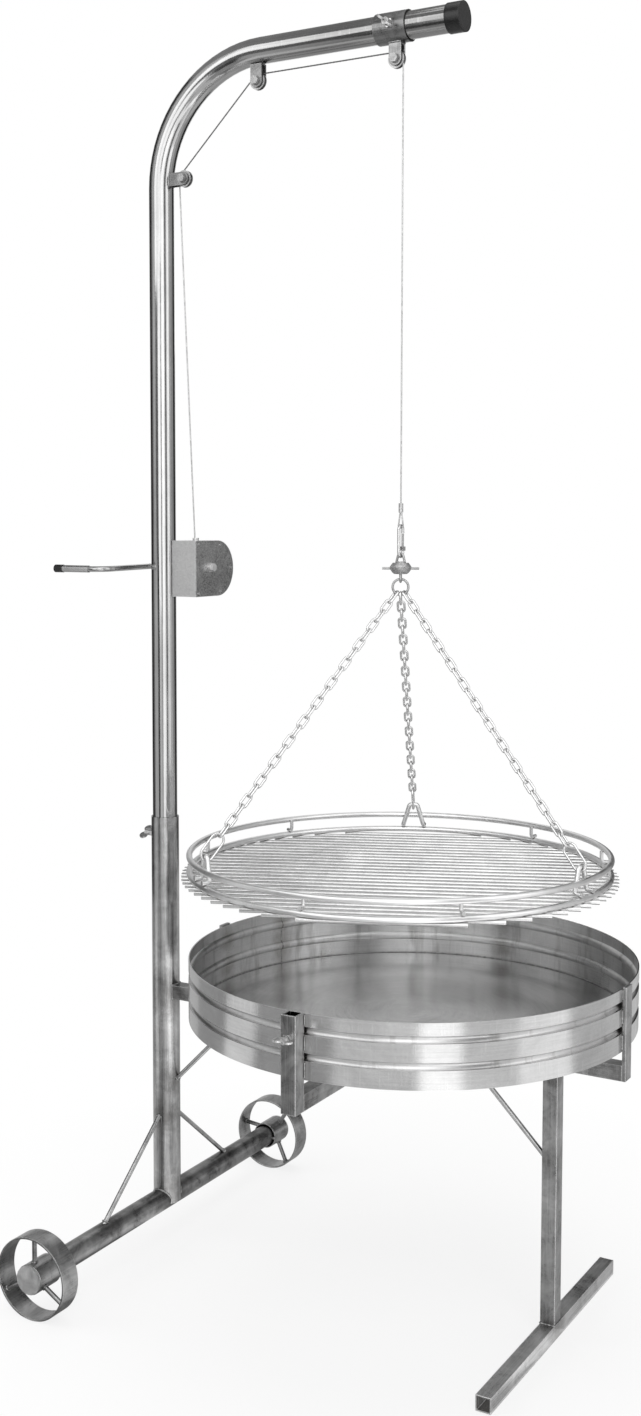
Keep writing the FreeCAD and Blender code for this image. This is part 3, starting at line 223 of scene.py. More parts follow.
mast_rope, mast_points = wire_rope("rope_mast", [
    LEAVES_WINCH, (-0.72108, 0.00011, 1.90953), (-0.72141, 0, 1.91974), (-0.71404, 0, 1.92683),
    (-0.56831, 0, 2.06707), (-0.56163, 0, 2.07350), OVER_ARM_SHEAVE], 96)
arm_rope, arm_points = wire_rope("rope_arm", [
    OVER_ARM_SHEAVE, (-0.42, 0, 2.07350), OVER_SLIDER_SHEAVE], 72)
bend_rope, bend_points = wire_rope("rope_bend", [
    OVER_SLIDER_SHEAVE, (-0.28, 0, 2.07350), LEAVES_SHEAVE], 12)
drop_rope, drop_points = wire_rope("rope_drop", [
    LEAVES_SHEAVE, (-0.28, 0, 1.7), FERRULE], 180)
ropes = [mast_rope, arm_rope, bend_rope, drop_rope]


def length_of(points):
    return sum((after - before).length for before, after in zip(points, points[1:]))


whole = sum(length_of(points) for points in (mast_points, arm_points, bend_points, drop_points))
print("cable", round(whole, 3), "m")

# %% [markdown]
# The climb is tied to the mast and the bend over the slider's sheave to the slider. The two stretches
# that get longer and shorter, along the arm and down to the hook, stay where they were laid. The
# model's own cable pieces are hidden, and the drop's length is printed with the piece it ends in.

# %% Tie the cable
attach(mast_rope, "mast")
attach(bend_rope, "slider")
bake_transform(arm_rope)
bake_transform(drop_rope)
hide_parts("cable_mast_run")
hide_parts("cable_arm_run")
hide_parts("cable_arm_run")
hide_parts("cable_drop")

print("the drop is", round(length_of(drop_points), 3), "m and ends in", node["cable_end"].name)

# %% [markdown]
# ## Helpers for node trees
# Every finish below is a small tree of nodes. These helpers put a node down, feed it and hand back
# its output, so that a finish reads like a recipe.

# %% Put a node down


def put(tree, kind, feeds, **settings):
    """Adds a node. A feed is a socket to link, or a plain value."""
    new = tree.nodes.new(kind)
    for name, value in settings.items():
        setattr(new, name, value)
    for name, value in feeds.items():
        if isinstance(value, bpy.types.NodeSocket):
            tree.links.new(value, new.inputs[name])
        else:
            new.inputs[name].default_value = value
    return new


def sums(tree, operation, *values):
    return put(tree, "ShaderNodeMath", dict(enumerate(values)), operation=operation).outputs[0]


def vectors(tree, operation, *values):
    return put(tree, "ShaderNodeVectorMath", dict(enumerate(values)), operation=operation).outputs[0]


def axes_of(tree, vector):
    """The three numbers of a vector."""
    return put(tree, "ShaderNodeSeparateXYZ", {0: vector}).outputs


trial_tree = bpy.data.node_groups.new("trial_tree", "ShaderNodeTree")
sums(trial_tree, "ADD", sums(trial_tree, "MULTIPLY", 2.0, 3.0), 1.0)
print("a sum and a product make", len(trial_tree.nodes), "nodes and", len(trial_tree.links), "link")
bpy.data.node_groups.remove(trial_tree)

# %% [markdown]
# Most effects are a noise that is cut to a range, weighed and added up, or a second colour that is laid
# over a first one. Each of these gets a helper of its own.

# %% Ranges, noise and colours


def spread(tree, value, low, high, to_low=0.0, to_high=1.0):
    """Maps a value from one range to another, clamped."""
    return put(tree, "ShaderNodeMapRange", {
        "Value": value, "From Min": low, "From Max": high, "To Min": to_low, "To Max": to_high}).outputs[0]


def noise(tree, place, scale, detail=2.0, roughness=0.5, distortion=0.0):
    return put(tree, "ShaderNodeTexNoise", {
        "Vector": place, "Scale": scale, "Detail": detail, "Roughness": roughness,
        "Distortion": distortion}).outputs[0]


def added(tree, total, *terms):
    """A value plus others, each of them times its share."""
    for value, share in terms:
        total = sums(tree, "ADD", total, sums(tree, "MULTIPLY", value, share))
    return total


def mixed(tree, share, first, second):
    """A mix of two colours."""
    return put(tree, "ShaderNodeMix", {0: share, 6: first, 7: second}, data_type="RGBA").outputs[2]


def veiled(tree, colour, mask, share, veil):
    """A colour with another laid over it where the mask is."""
    return mixed(tree, sums(tree, "MULTIPLY", mask, share), colour, veil)


def grey(value, warmth=0.0):
    return (value * (1 + warmth), value, value * (1 - warmth), 1)


print("a middle grey is", grey(0.5), "and a warm one", grey(0.5, 0.1))

# %% [markdown]
# A finish is a material with one shader. What is the same all over it is set on the shader itself, and
# the relief goes in as a bump, on top of the rounded corners where there are any.

# %% Finishes


def new_finish(name, metallic):
    """A material, its tree and its shader."""
    material = bpy.data.materials.new(name)
    material.use_nodes = True
    shader = material.node_tree.nodes["Principled BSDF"]
    shader.inputs["Metallic"].default_value = metallic
    return material, material.node_tree, shader


def raised(tree, shader, height, strength, depth, rounded=None):
    """Gives a finish its relief, on top of rounded corners if there are any."""
    relief = put(tree, "ShaderNodeBump", {"Height": height, "Strength": strength, "Distance": depth})
    if rounded is not None:
        tree.links.new(rounded, relief.inputs["Normal"])
    tree.links.new(relief.outputs[0], shader.inputs["Normal"])


print("materials before the first finish:", len(bpy.data.materials))

# %% [markdown]
# An effect is a node group, which several finishes can place in their trees. Its sockets have names, so
# a finish can say what it feeds and what it takes.

# %% Effects


def effect(name, inputs, outputs, normals=()):
    """A shader node group with named sockets."""
    tree = bpy.data.node_groups.new(name, "ShaderNodeTree")
    for label, value in inputs.items():
        kind = "NodeSocketVector" if isinstance(value, tuple) else "NodeSocketFloat"
        tree.interface.new_socket(label, in_out="INPUT", socket_type=kind).default_value = value
    for label in outputs:
        tree.interface.new_socket(label, in_out="OUTPUT", socket_type="NodeSocketFloat")
    for label in normals:
        tree.interface.new_socket(label, in_out="OUTPUT", socket_type="NodeSocketVector")
    return tree, tree.nodes.new("NodeGroupInput").outputs, tree.nodes.new("NodeGroupOutput").inputs


def use(tree, group, **feeds):
    """Places an effect in a material and hands back its outputs."""
    return put(tree, "ShaderNodeGroup", feeds, node_tree=group).outputs


def tell(*made):
    """Prints how many nodes each new effect or finish has."""
    for item in made:
        tree = item.node_tree if isinstance(item, bpy.types.Material) else item
        print(item.name, "has", len(tree.nodes), "nodes")


print("effects so far", len(bpy.data.node_groups))

# %% [markdown]
# ## Effects that several finishes share
# Drawn and rolled steel has long thin lines along the way it was pulled. They could be painted as a
# picture, but a noise that is stretched hard in one direction gives the same lines at any size.
# The group takes a place that is already stretched, so each tube can have its own direction.

# %% Drawn grain
ANYWHERE = (0.0, 0.0, 0.0)
drawn_grain, given, result = effect("drawn_grain", {"Place": ANYWHERE}, ["Streak", "Line"])
broad = noise(drawn_grain, given["Place"], 1.0, detail=3.0, roughness=0.55)
thin = noise(drawn_grain, given["Place"], 4.3, detail=4.0, roughness=0.65)
drawn_grain.links.new(spread(drawn_grain, broad, 0.3, 0.7), result["Streak"])
drawn_grain.links.new(spread(drawn_grain, thin, 0.34, 0.66), result["Line"])
tell(drawn_grain)

# %% [markdown]
# Steel that has been welded, wiped and rained on is never even. Soft clouds, a few centimetres
# across, carry most of that, and fine specks break up the reflections up close.

# %% Clouds and specks
FINER = 31.0
weathering, given, result = effect("weathering", {"Place": ANYWHERE, "Size": 20.0}, ["Cloud", "Speck"])
cloud = noise(weathering, given["Place"], given["Size"], detail=5.0, roughness=0.62, distortion=0.7)
speck_size = sums(weathering, "MULTIPLY", given["Size"], FINER)
speck = noise(weathering, given["Place"], speck_size, roughness=0.6)
weathering.links.new(spread(weathering, cloud, 0.32, 0.68), result["Cloud"])
weathering.links.new(spread(weathering, speck, 0.42, 0.66), result["Speck"])
tell(weathering)

# %% [markdown]
# Scratches are hair lines in many directions. Each set is a noise that is stretched along its own
# slanted axis and cut off high, so that only thin slivers remain.

# %% Scratches
SLANTS = ((0.4, 0.9, 0.2), (1.9, 0.3, 1.1), (2.7, 1.8, 0.6))
HAIR_STRETCH = (700.0, 700.0, 14.0)
scratches, given, result = effect("scratches", {"Place": ANYWHERE, "Amount": 0.3}, ["Scratch"])
total = None
for slant in SLANTS:
    slanted = put(scratches, "ShaderNodeMapping", {
        "Vector": given["Place"], "Rotation": slant, "Scale": HAIR_STRETCH}).outputs[0]
    hair = spread(scratches, noise(scratches, slanted, 1.0, detail=1.0, roughness=0.4), 0.70, 0.74)
    total = hair if total is None else sums(scratches, "MAXIMUM", total, hair)
scratches.links.new(sums(scratches, "MULTIPLY", total, given["Amount"]), result["Scratch"])
tell(scratches)

# %% [markdown]
# Edges are laid brighter, partly for the polish that handling gives and partly as a painted highlight,
# and corners get painted shade. A bevelled normal differs from the plain one only near an edge, which
# makes a mask for the first. Short occlusion rays find the second. The bevelled normal is handed on as
# well, because the corners of a drawn tube are rounded and each of them catches a thin line of light.

# %% Rubbed and highlighted edges, shaded corners
EDGE_WIDTH = 0.0015
wear_and_shade, given, result = effect("wear_and_shade", {"Width": EDGE_WIDTH, "Depth": 0.012}, ["Edge", "Corner_shade"], ["Rounded"])
soft = put(wear_and_shade, "ShaderNodeBevel", {"Radius": given["Width"]}, samples=4).outputs[0]
plain = put(wear_and_shade, "ShaderNodeNewGeometry", {}).outputs["Normal"]
facing = put(wear_and_shade, "ShaderNodeVectorMath", {0: soft, 1: plain}, operation="DOT_PRODUCT").outputs["Value"]
wear_and_shade.links.new(spread(wear_and_shade, facing, 0.98, 0.80), result["Edge"])
wear_and_shade.links.new(soft, result["Rounded"])
shade = put(wear_and_shade, "ShaderNodeAmbientOcclusion", {"Distance": given["Depth"]}, samples=4).outputs["AO"]
wear_and_shade.links.new(spread(wear_and_shade, shade, 0.75, 0.25), result["Corner_shade"])
tell(wear_and_shade)

# %% [markdown]
# Welding heat leaves a dark halo on the tubes near each seam. A halo is a soft ball round the weld's
# middle, and a noise frays its rim so that it does not look sprayed on.

# %% Weld heat
FRAY = 0.45


def distance_between(tree, first, second):
    return put(tree, "ShaderNodeVectorMath", {0: first, 1: second}, operation="DISTANCE").outputs["Value"]


weld_heat, given, result = effect(
    "weld_heat", {"Place": ANYWHERE, "Middle": ANYWHERE, "Reach": 0.03}, ["Halo"])
ball = sums(weld_heat, "DIVIDE", distance_between(weld_heat, given["Place"], given["Middle"]), given["Reach"])
ragged = noise(weld_heat, given["Place"], 90.0, detail=4.0, roughness=0.6)
frayed = sums(weld_heat, "ADD", ball, spread(weld_heat, ragged, 0.0, 1.0, -FRAY, FRAY))
weld_heat.links.new(spread(weld_heat, frayed, 1.0, 0.25), result["Halo"])
tell(weld_heat)

# %% [markdown]
# ## Steel
# All steel parts share one recipe: a light and a dark tone, mixed by grain and clouds, with painted
# shade in the corners and edges brighter, partly rubbed and partly a painted highlight. What changes
# from part to part is the direction of the grain and the tones. First come the place on the piece,
# which every effect needs, and the warm dark and bright tones that the marks take.

# %% Places and tones
DARK_WARMTH = 0.05
BRIGHTEST = 0.92


def object_place(tree):
    return put(tree, "ShaderNodeTexCoord", {}).outputs["Object"]


def stretched(scale):
    """A place in the object's own space, stretched along its grain."""
    def place(tree):
        return vectors(tree, "MULTIPLY", object_place(tree), scale)
    return place


def warm_dark(tone):
    return grey(tone, DARK_WARMTH)


def gleam(tone):
    return grey(min(tone, BRIGHTEST))


print("soot of 0.1 is", warm_dark(0.1), "and the brightest steel", gleam(1.0))

# %% [markdown]
# The recipe is a function, and the effects inside it are the groups from above. The crank's grip, a
# plain bright tube, is the first piece to try it.

# %% Recipe for steel
QUARTER_TURN = 0.25
STREAK_SHARE, SPECK_SHARE, DARKEN_SHARE = 0.6, 0.06, 0.6
HEAT_TONE, STAIN_AND_SHADE_TONE, CORNER_SHADE_TONE = 0.45, 0.25, 0.35
HAIR_TONE, HAIR_DULL = 1.25, 0.1
EDGE_SHARE, ROUND_EDGE_SHARE = 0.5, 0.85
DULL_LOW, DULL_HIGH = 0.8, 1.2
SPECK_HEIGHT, RELIEF = 0.4, 0.5


def steel(name, grain, dark, light, rough, cloud_size=22.0, cloud_share=0.5, grain_share=0.5, marks=0.25,
          bump=0.00006, heat=(), corner=0.012, stain_and_shade=None, line_dull=0.10, brushed=0.0,
          brush_turn=QUARTER_TURN, blunt=None, rounded=0.0, edge_brightness=1.4):
    """Bare steel. The grain, stain-and-shade and blunt arguments are functions that build their own nodes;
    the second lays real stains and painted shade.
    """
    material, tree, shader = new_finish(name, 1.0)
    shader.inputs["Anisotropic"].default_value = brushed
    shader.inputs["Anisotropic Rotation"].default_value = brush_turn if brushed else 0.0
    place = object_place(tree)
    lines = use(tree, drawn_grain, Place=grain(tree))
    weather = use(tree, weathering, Place=place, Size=cloud_size)
    hairs = use(tree, scratches, Place=place, Amount=marks)["Scratch"]
    edges_and_corners = use(tree, wear_and_shade, Depth=corner, Width=rounded or EDGE_WIDTH)

    tone = added(tree, sums(tree, "MULTIPLY", lines["Streak"], grain_share * STREAK_SHARE),
                 (lines["Line"], grain_share * (1 - STREAK_SHARE)), (weather["Cloud"], cloud_share),
                 (weather["Speck"], SPECK_SHARE))
    colour = mixed(tree, tone, grey(dark), grey(light))
    for middle, reach in heat:
        halo = use(tree, weld_heat, Place=place, Middle=middle, Reach=reach)["Halo"]
        colour = veiled(tree, colour, halo, DARKEN_SHARE, warm_dark(dark * HEAT_TONE))
    # Real stains and painted shade are laid on here.
    if stain_and_shade:
        colour = mixed(tree, stain_and_shade(tree), colour, warm_dark(dark * STAIN_AND_SHADE_TONE))
    colour = mixed(tree, hairs, colour, gleam(light * HAIR_TONE))
    # Painted shade in the corners that short occlusion rays find.
    colour = veiled(tree, colour, edges_and_corners["Corner_shade"], DARKEN_SHARE, warm_dark(dark * CORNER_SHADE_TONE))
    # Brighter edges: partly rubbed, partly a painted highlight.
    edge_lift = ROUND_EDGE_SHARE if rounded else EDGE_SHARE
    colour = veiled(tree, colour, edges_and_corners["Edge"], edge_lift, gleam(light * edge_brightness))
    tree.links.new(colour, shader.inputs["Base Color"])

    dull = spread(tree, weather["Cloud"], 0.0, 1.0, rough * DULL_LOW, rough * DULL_HIGH)
    dull = added(tree, dull, (lines["Line"], line_dull), (hairs, HAIR_DULL))
    if blunt:
        dull = sums(tree, "ADD", dull, blunt(tree))
    tree.links.new(dull, shader.inputs["Roughness"])
    height = added(tree, lines["Line"], (weather["Speck"], SPECK_HEIGHT))
    raised(tree, shader, height, RELIEF, bump, edges_and_corners["Rounded"] if rounded else None)
    return material


bright_along = steel("bright_along", stretched((4.0, 300.0, 300.0)), dark=0.36, light=0.72, rough=0.22,
                     grain_share=0.6)
tell(bright_along)

# %% [markdown]
# The mast is one tube that turns a corner, and its grain turns with it. A stretched noise only
# follows straight lines, so the place is worked out from the bend: the distance from the bend's
# middle says how far round the tube a point is, both on the straight parts and in the curve.

# %% Mast steel
BEND_MIDDLE = (-0.550, 1.902)
BEND_RADIUS = 0.210
MAST_STRETCH = (260.0, 260.0, 1.6)
ARM_SHADE_FROM, ARM_SHADE_TO, ARM_SHADE_SHARE = -0.64, -0.42, 0.38


def hypotenuse(tree, first, second):
    squares = sums(tree, "ADD", sums(tree, "MULTIPLY", first, first), sums(tree, "MULTIPLY", second, second))
    return sums(tree, "SQRT", squares)


def mast_place(tree):
    spot = axes_of(tree, object_place(tree))
    left = sums(tree, "SUBTRACT", BEND_MIDDLE[0], spot["X"])
    above = sums(tree, "SUBTRACT", spot["Z"], BEND_MIDDLE[1])
    reach = hypotenuse(tree, sums(tree, "MAXIMUM", left, 0.0), sums(tree, "MAXIMUM", above, 0.0))
    out = sums(tree, "SUBTRACT", reach, BEND_RADIUS)
    along = sums(tree, "SUBTRACT", sums(tree, "MINIMUM", above, 0.0), sums(tree, "MINIMUM", left, 0.0))
    place = put(tree, "ShaderNodeCombineXYZ", {"X": out, "Y": spot["Y"], "Z": along}).outputs[0]
    return vectors(tree, "MULTIPLY", place, MAST_STRETCH)


def shaded_arm(tree):
    """Painted shade: the colour darkens from the bend out along the arm."""
    along = axes_of(tree, object_place(tree))["X"]
    return spread(tree, along, ARM_SHADE_FROM, ARM_SHADE_TO, 0.0, ARM_SHADE_SHARE)


mast_steel = steel("mast_steel", mast_place, dark=0.38, light=0.68, rough=0.10, cloud_size=9.0,
                   cloud_share=0.3, grain_share=0.8, bump=0.00002, line_dull=0.04, stain_and_shade=shaded_arm)
tell(mast_steel)

# %% [markdown]
# The heat of the welds is known from where the tubes meet. Each spot is a place on the frame and how
# far the heat went from there, and there is one list for each direction a tube can run in.

# %% Places of heat
MAST_X, SLEEVE_FACE, PAN_X = -0.760, -0.735, -0.2545
LEG_BRACE_X, SLEEVE_BRACE_X = -0.1630, -0.5845
FOOT_TOP, BRACE_LEVEL, BEAM_LOW, BEAM_MIDDLE = 0.025, 0.298, 0.4485, 0.461
HALF = 0.0125
PAN_RADIUS = 0.373
on_foot, leg_top = (0.0, 0.0, FOOT_TOP), (0.0, 0.0, BEAM_LOW)
on_axle, beam_end = (MAST_X, 0.0, 0.085), (SLEEVE_FACE, 0.0, BEAM_MIDDLE)
crossing = (PAN_X, 0.0, BEAM_MIDDLE)

upright_heat = [
    ((MAST_X, -0.020, 0.228), 0.045), ((MAST_X, 0.020, 0.228), 0.045),
    ((SLEEVE_FACE, 0.0, BRACE_LEVEL), 0.040), (beam_end, 0.060), (on_axle, 0.055),
    ((-HALF, 0.0, BRACE_LEVEL), 0.035), (leg_top, 0.040), (on_foot, 0.028)]
along_heat = [
    (beam_end, 0.05), (crossing, 0.05), (leg_top, 0.05), ((0.1185, 0.0, BEAM_MIDDLE), 0.035),
    ((LEG_BRACE_X, 0.0, BEAM_LOW), 0.03), ((SLEEVE_BRACE_X, 0.0, BEAM_LOW), 0.03)]
across_heat = [
    (on_foot, 0.045), (on_axle, 0.075), ((MAST_X, -0.187, 0.088), 0.04), ((MAST_X, 0.187, 0.088), 0.04),
    (crossing, 0.05), ((PAN_X, -PAN_RADIUS, BEAM_MIDDLE), 0.04), ((PAN_X, PAN_RADIUS, BEAM_MIDDLE), 0.04)]
print("heated places", len(upright_heat), len(along_heat), len(across_heat))

# %% [markdown]
# The frame is darker and duller than the mast. It is the same drawn tube, left as it came, so its
# clouds are stronger than its grain. One finish is made for each direction a tube can run in.

# %% Frame steel
TUBE_CORNER = 0.0024
grain_x = stretched((5.0, 420.0, 420.0))
grain_y = stretched((420.0, 5.0, 420.0))
grain_z = stretched((420.0, 420.0, 5.0))
even_grain = stretched((300.0, 300.0, 300.0))
frame_tones = dict(dark=0.12, light=0.54, rough=0.26, cloud_size=26.0, cloud_share=0.62, grain_share=0.42,
                   rounded=TUBE_CORNER)
frame_upright = steel("frame_upright", grain_z, heat=upright_heat, **frame_tones)
frame_along = steel("frame_along", grain_x, heat=along_heat, **frame_tones)
frame_across = steel("frame_across", grain_y, heat=across_heat, **frame_tones)
tell(frame_upright, frame_along, frame_across)

# %% [markdown]
# The round pieces of the frame were bought bright. The sleeve, the braces and the crank keep some of
# that shine, the turned discs at the axle's ends are pale, and the axle itself is the darkest. The
# brackets of the sheaves were cut from dull plate.

# %% Round steel and brackets
sleeve_steel = steel("sleeve_steel", grain_z, dark=0.26, light=0.74, rough=0.16, cloud_size=20.0,
                     cloud_share=0.5, grain_share=0.5, heat=upright_heat, line_dull=0.06)
bracket_steel = steel("bracket_steel", even_grain, dark=0.12, light=0.42, rough=0.30, cloud_size=60.0,
                      corner=0.006)
brace_steel = steel("brace_steel", even_grain, dark=0.26, light=0.70, rough=0.18, cloud_size=30.0,
                    line_dull=0.05)
disc_steel = steel("disc_steel", stretched((120.0, 120.0, 120.0)), dark=0.66, light=0.92, rough=0.45,
                   cloud_size=60.0)
axle_steel = steel("axle_steel", grain_y, dark=0.08, light=0.42, rough=0.28, cloud_size=30.0,
                   cloud_share=0.8, grain_share=0.2, heat=across_heat)
tell(sleeve_steel, bracket_steel, brace_steel, disc_steel, axle_steel)

# %% [markdown]
# Two square tubes have an open end, the foot bar and the socket post. Inside, a tube is painted near
# black, partly for its mill scale and partly as painted shade. The mask for that needs no picture: a
# point lies inside when it is nearer to the tube's middle line than the wall is. The collar's ends get
# painted shade as well, found in a similar way, by their direction.

# %% Open ends
TUBE_INSIDE = (0.0116, 0.0108)
POST_MIDDLE = (PAN_X, -0.3855, 0.0)
FOOT_MIDDLE = (0.0, 0.0, HALF)


def shaded_hollow(middle, axes):
    """Marks the inside of a square tube, where mill scale and painted shade go."""
    def inside(tree):
        spot = axes_of(tree, vectors(tree, "SUBTRACT", object_place(tree), middle))
        off = sums(tree, "MAXIMUM", *[sums(tree, "ABSOLUTE", spot[axis]) for axis in axes])
        return spread(tree, off, *TUBE_INSIDE)
    return inside


def painted_end_shade(tree):
    """Marks the faces that look along the tube, where shade is painted."""
    normal = put(tree, "ShaderNodeNewGeometry", {}).outputs["Normal"]
    return spread(tree, sums(tree, "ABSOLUTE", axes_of(tree, normal)["X"]), 0.85, 0.95)


# The post's edges are laid brighter still: a painted highlight along its corners.
post_steel = steel("post_steel", grain_z, dark=0.11, light=0.50, rough=0.26, cloud_size=24.0,
                   cloud_share=0.7, grain_share=0.35, stain_and_shade=shaded_hollow(POST_MIDDLE, "XY"), rounded=TUBE_CORNER,
                   edge_brightness=2.0)
foot_steel = steel("foot_steel", grain_y, dark=0.30, light=0.80, rough=0.26, heat=across_heat,
                   stain_and_shade=shaded_hollow(FOOT_MIDDLE, "XZ"), rounded=TUBE_CORNER)
collar_steel = steel("collar_steel", stretched((4.0, 300.0, 300.0)), dark=0.11, light=0.36, rough=0.24,
                     cloud_size=40.0, stain_and_shade=painted_end_shade)
tell(post_steel, foot_steel, collar_steel)

# %% [markdown]
# ## Fire pan
# The wall was rolled from a sheet that had been brushed, so its grain runs round the pan. The floor
# is a disc that was polished in circles. Both need a place in polar form: an angle, a distance from
# the middle and a height. The floor needs nothing more than that.

# %% Pan floor
PAN_MIDDLE = (PAN_X, 0.0, 0.0)


def pan_place(scale=(1.0, 1.0, 1.0)):
    def place(tree):
        spot = axes_of(tree, vectors(tree, "SUBTRACT", object_place(tree), PAN_MIDDLE))
        angle = sums(tree, "ARCTAN2", spot["Y"], spot["X"])
        polar = {"X": angle, "Y": hypotenuse(tree, spot["X"], spot["Y"]), "Z": spot["Z"]}
        return vectors(tree, "MULTIPLY", put(tree, "ShaderNodeCombineXYZ", polar).outputs[0], scale)
    return place


pan_floor_steel = steel("pan_floor_steel", pan_place((1.2, 260.0, 1.0)), dark=0.46, light=0.86, rough=0.11,
                        cloud_size=7.0, cloud_share=0.5, grain_share=0.4, marks=0.4, bump=0.00004,
                        line_dull=0.05, brushed=0.75, brush_turn=0.0)
tell(pan_floor_steel)

# %% [markdown]
# The wall has a history. A dark line shows where the rolled sheet was closed, rain has run down the
# inside, and smoke has made that side dull. The inner face is found by its distance from the middle:
# the sheet is two millimetres thick.

# %% Stains on the wall
SEAM_ANGLE = math.radians(157.75)
SEAM_HALF = 0.0011
SEAM_OUT = 0.371
INNER_FACE = (0.3722, 0.3712)
RAIN_STRETCH = (16.0, 1.0, 7.0)


def pan_stain(tree):
    """The dark line where the rolled wall closes, and runs of rain inside the wall."""
    spot = axes_of(tree, pan_place()(tree))
    angle_off = sums(tree, "ABSOLUTE", sums(tree, "SUBTRACT", spot["X"], SEAM_ANGLE))
    beside = sums(tree, "MULTIPLY", angle_off, SEAM_OUT)
    broken = spread(tree, noise(tree, object_place(tree), 160.0), 0.35, 0.6, 0.4, 1.0)
    line = sums(tree, "MULTIPLY", spread(tree, beside, SEAM_HALF * 1.6, SEAM_HALF * 0.6), broken)
    rain = noise(tree, pan_place(RAIN_STRETCH)(tree), 1.0, detail=3.0, roughness=0.6)
    runs = spread(tree, rain, 0.56, 0.74, 0.0, 0.5)
    inside = spread(tree, spot["Y"], *INNER_FACE)
    return sums(tree, "MAXIMUM", line, sums(tree, "MULTIPLY", runs, inside))


def sooty_inside(tree):
    """Smoke has made the wall's inner face duller than the outer one."""
    return spread(tree, axes_of(tree, pan_place()(tree))["Y"], *INNER_FACE, 0.0, 0.16)


print("the wall closes at", round(math.degrees(SEAM_ANGLE), 2), "degrees")

# %% [markdown]
# Where the wall was welded, at its own seam and to the four uprights, it has halos too. They are
# placed by angle and height, and then the wall's finish has all it needs.

# %% Pan wall


def on_wall(angle, out, level):
    return Vector((PAN_X + out * math.cos(angle), out * math.sin(angle), level))


wall_heat = [(on_wall(SEAM_ANGLE, 0.372, level), 0.026) for level in (0.515, 0.545, 0.58)]
wall_heat += [(on_wall(turn * math.pi / 2, PAN_RADIUS, level), 0.028)
              for turn in range(4) for level in (0.52, 0.57)]
pan_wall_steel = steel("pan_wall_steel", pan_place((3.0, 60.0, 420.0)), dark=0.52, light=0.86, rough=0.13,
                       cloud_size=9.0, cloud_share=0.45, grain_share=0.28, heat=wall_heat, stain_and_shade=pan_stain,
                       bump=0.00003, line_dull=0.04, brushed=0.65, blunt=sooty_inside)
tell(pan_wall_steel)

# %% [markdown]
# ## Grate, chains and small hardware
# The rods of the grate are bright drawn wire, and the chains and bolts are zinc plated. Zinc is a
# little whiter and its specks are coarser, because the plating forms small crystals.

# %% Grate rod and zinc
rod_grain = stretched((40.0, 40.0, 40.0))
rod_tones = dict(cloud_size=9.0, cloud_share=0.4, grain_share=0.4, marks=0.0, corner=0.003, bump=0.00001,
                 line_dull=0.03)
grate_steel = steel("grate_steel", rod_grain, dark=0.52, light=0.86, rough=0.13, **rod_tones)
ring_steel = steel("ring_steel", rod_grain, dark=0.78, light=0.96, rough=0.32, **rod_tones)
zinc_tones = dict(cloud_share=0.6, grain_share=0.35, marks=0.1)
zinc = steel("zinc", even_grain, dark=0.58, light=0.92, rough=0.17, cloud_size=120.0, corner=0.004,
             **zinc_tones)
chain_zinc = steel("chain_zinc", even_grain, dark=0.80, light=0.97, rough=0.20, cloud_size=120.0,
                   corner=0.002, **zinc_tones)
dull_zinc = steel("dull_zinc", even_grain, dark=0.24, light=0.62, rough=0.42, cloud_size=140.0,
                  corner=0.004, **zinc_tones)
sheave_steel = steel("sheave_steel", stretched((500.0, 60.0, 500.0)), dark=0.30, light=0.62, rough=0.30,
                     cloud_size=90.0)
tell(grate_steel, ring_steel, zinc, chain_zinc, dull_zinc, sheave_steel)

# %% [markdown]
# ## Winch box
# The cover is galvanised sheet that has gone dull: dark, with crystals of zinc like frost on a
# window. A Voronoi pattern gives each crystal its own tone. The shell round it is plain zinc sheet.

# %% Winch sheet
SHEET_EDGE, SHEET_GRIT = 0.0025, 0.00012
SHEET_CORNER_SHADE, SHEET_EDGE_SHARE, SHEET_EDGE_BRIGHTNESS = 0.3, 0.8, 1.5
CRYSTAL_SHARE, CLOUD_SHARE, GRIT_SHARE = 0.35, 0.3, 0.45


def crystal_sheet(name, dark, light, crystals, rough):
    material, tree, shader = new_finish(name, 0.85)
    place = object_place(tree)
    cell = put(tree, "ShaderNodeTexVoronoi", {"Vector": place, "Scale": crystals, "Randomness": 1.0})
    tint = put(tree, "ShaderNodeSeparateColor", {0: cell.outputs["Color"]}).outputs[0]
    weather = use(tree, weathering, Place=place, Size=18.0)
    edges_and_corners = use(tree, wear_and_shade, Width=SHEET_EDGE)
    tone = added(tree, sums(tree, "MULTIPLY", tint, CRYSTAL_SHARE), (weather["Cloud"], CLOUD_SHARE),
                 (weather["Speck"], GRIT_SHARE))
    colour = mixed(tree, tone, grey(dark), grey(light))
    # Painted shade in the corners.
    colour = veiled(tree, colour, edges_and_corners["Corner_shade"], DARKEN_SHARE, grey(dark * SHEET_CORNER_SHADE))
    # Brighter edges: partly rubbed, partly a painted highlight.
    colour = veiled(tree, colour, edges_and_corners["Edge"], SHEET_EDGE_SHARE, gleam(light * SHEET_EDGE_BRIGHTNESS))
    tree.links.new(colour, shader.inputs["Base Color"])
    tree.links.new(spread(tree, tone, 0.0, 1.0, rough * 1.15, rough * 0.85), shader.inputs["Roughness"])
    raised(tree, shader, weather["Speck"], 0.6, SHEET_GRIT)
    return material


dull_galvanised = crystal_sheet("dull_galvanised", dark=0.06, light=0.62, crystals=520.0, rough=0.42)
shell_zinc = crystal_sheet("shell_zinc", dark=0.58, light=0.76, crystals=260.0, rough=0.34)
tell(dull_galvanised, shell_zinc)

# %% [markdown]
# ## Black caps, brake lining and wire
# The cap on the arm and the crank's end knob are black plastic with a fine moulded grain. The brake
# lining inside the winch and the wires of the cable get simple finishes of their own. The cable is
# painted darker from the upper sheave on, as painted shade for the dark reflections of those runs. A
# second material for that stretch would end in a hard line, so the height blends the painted shade
# into the same steel.

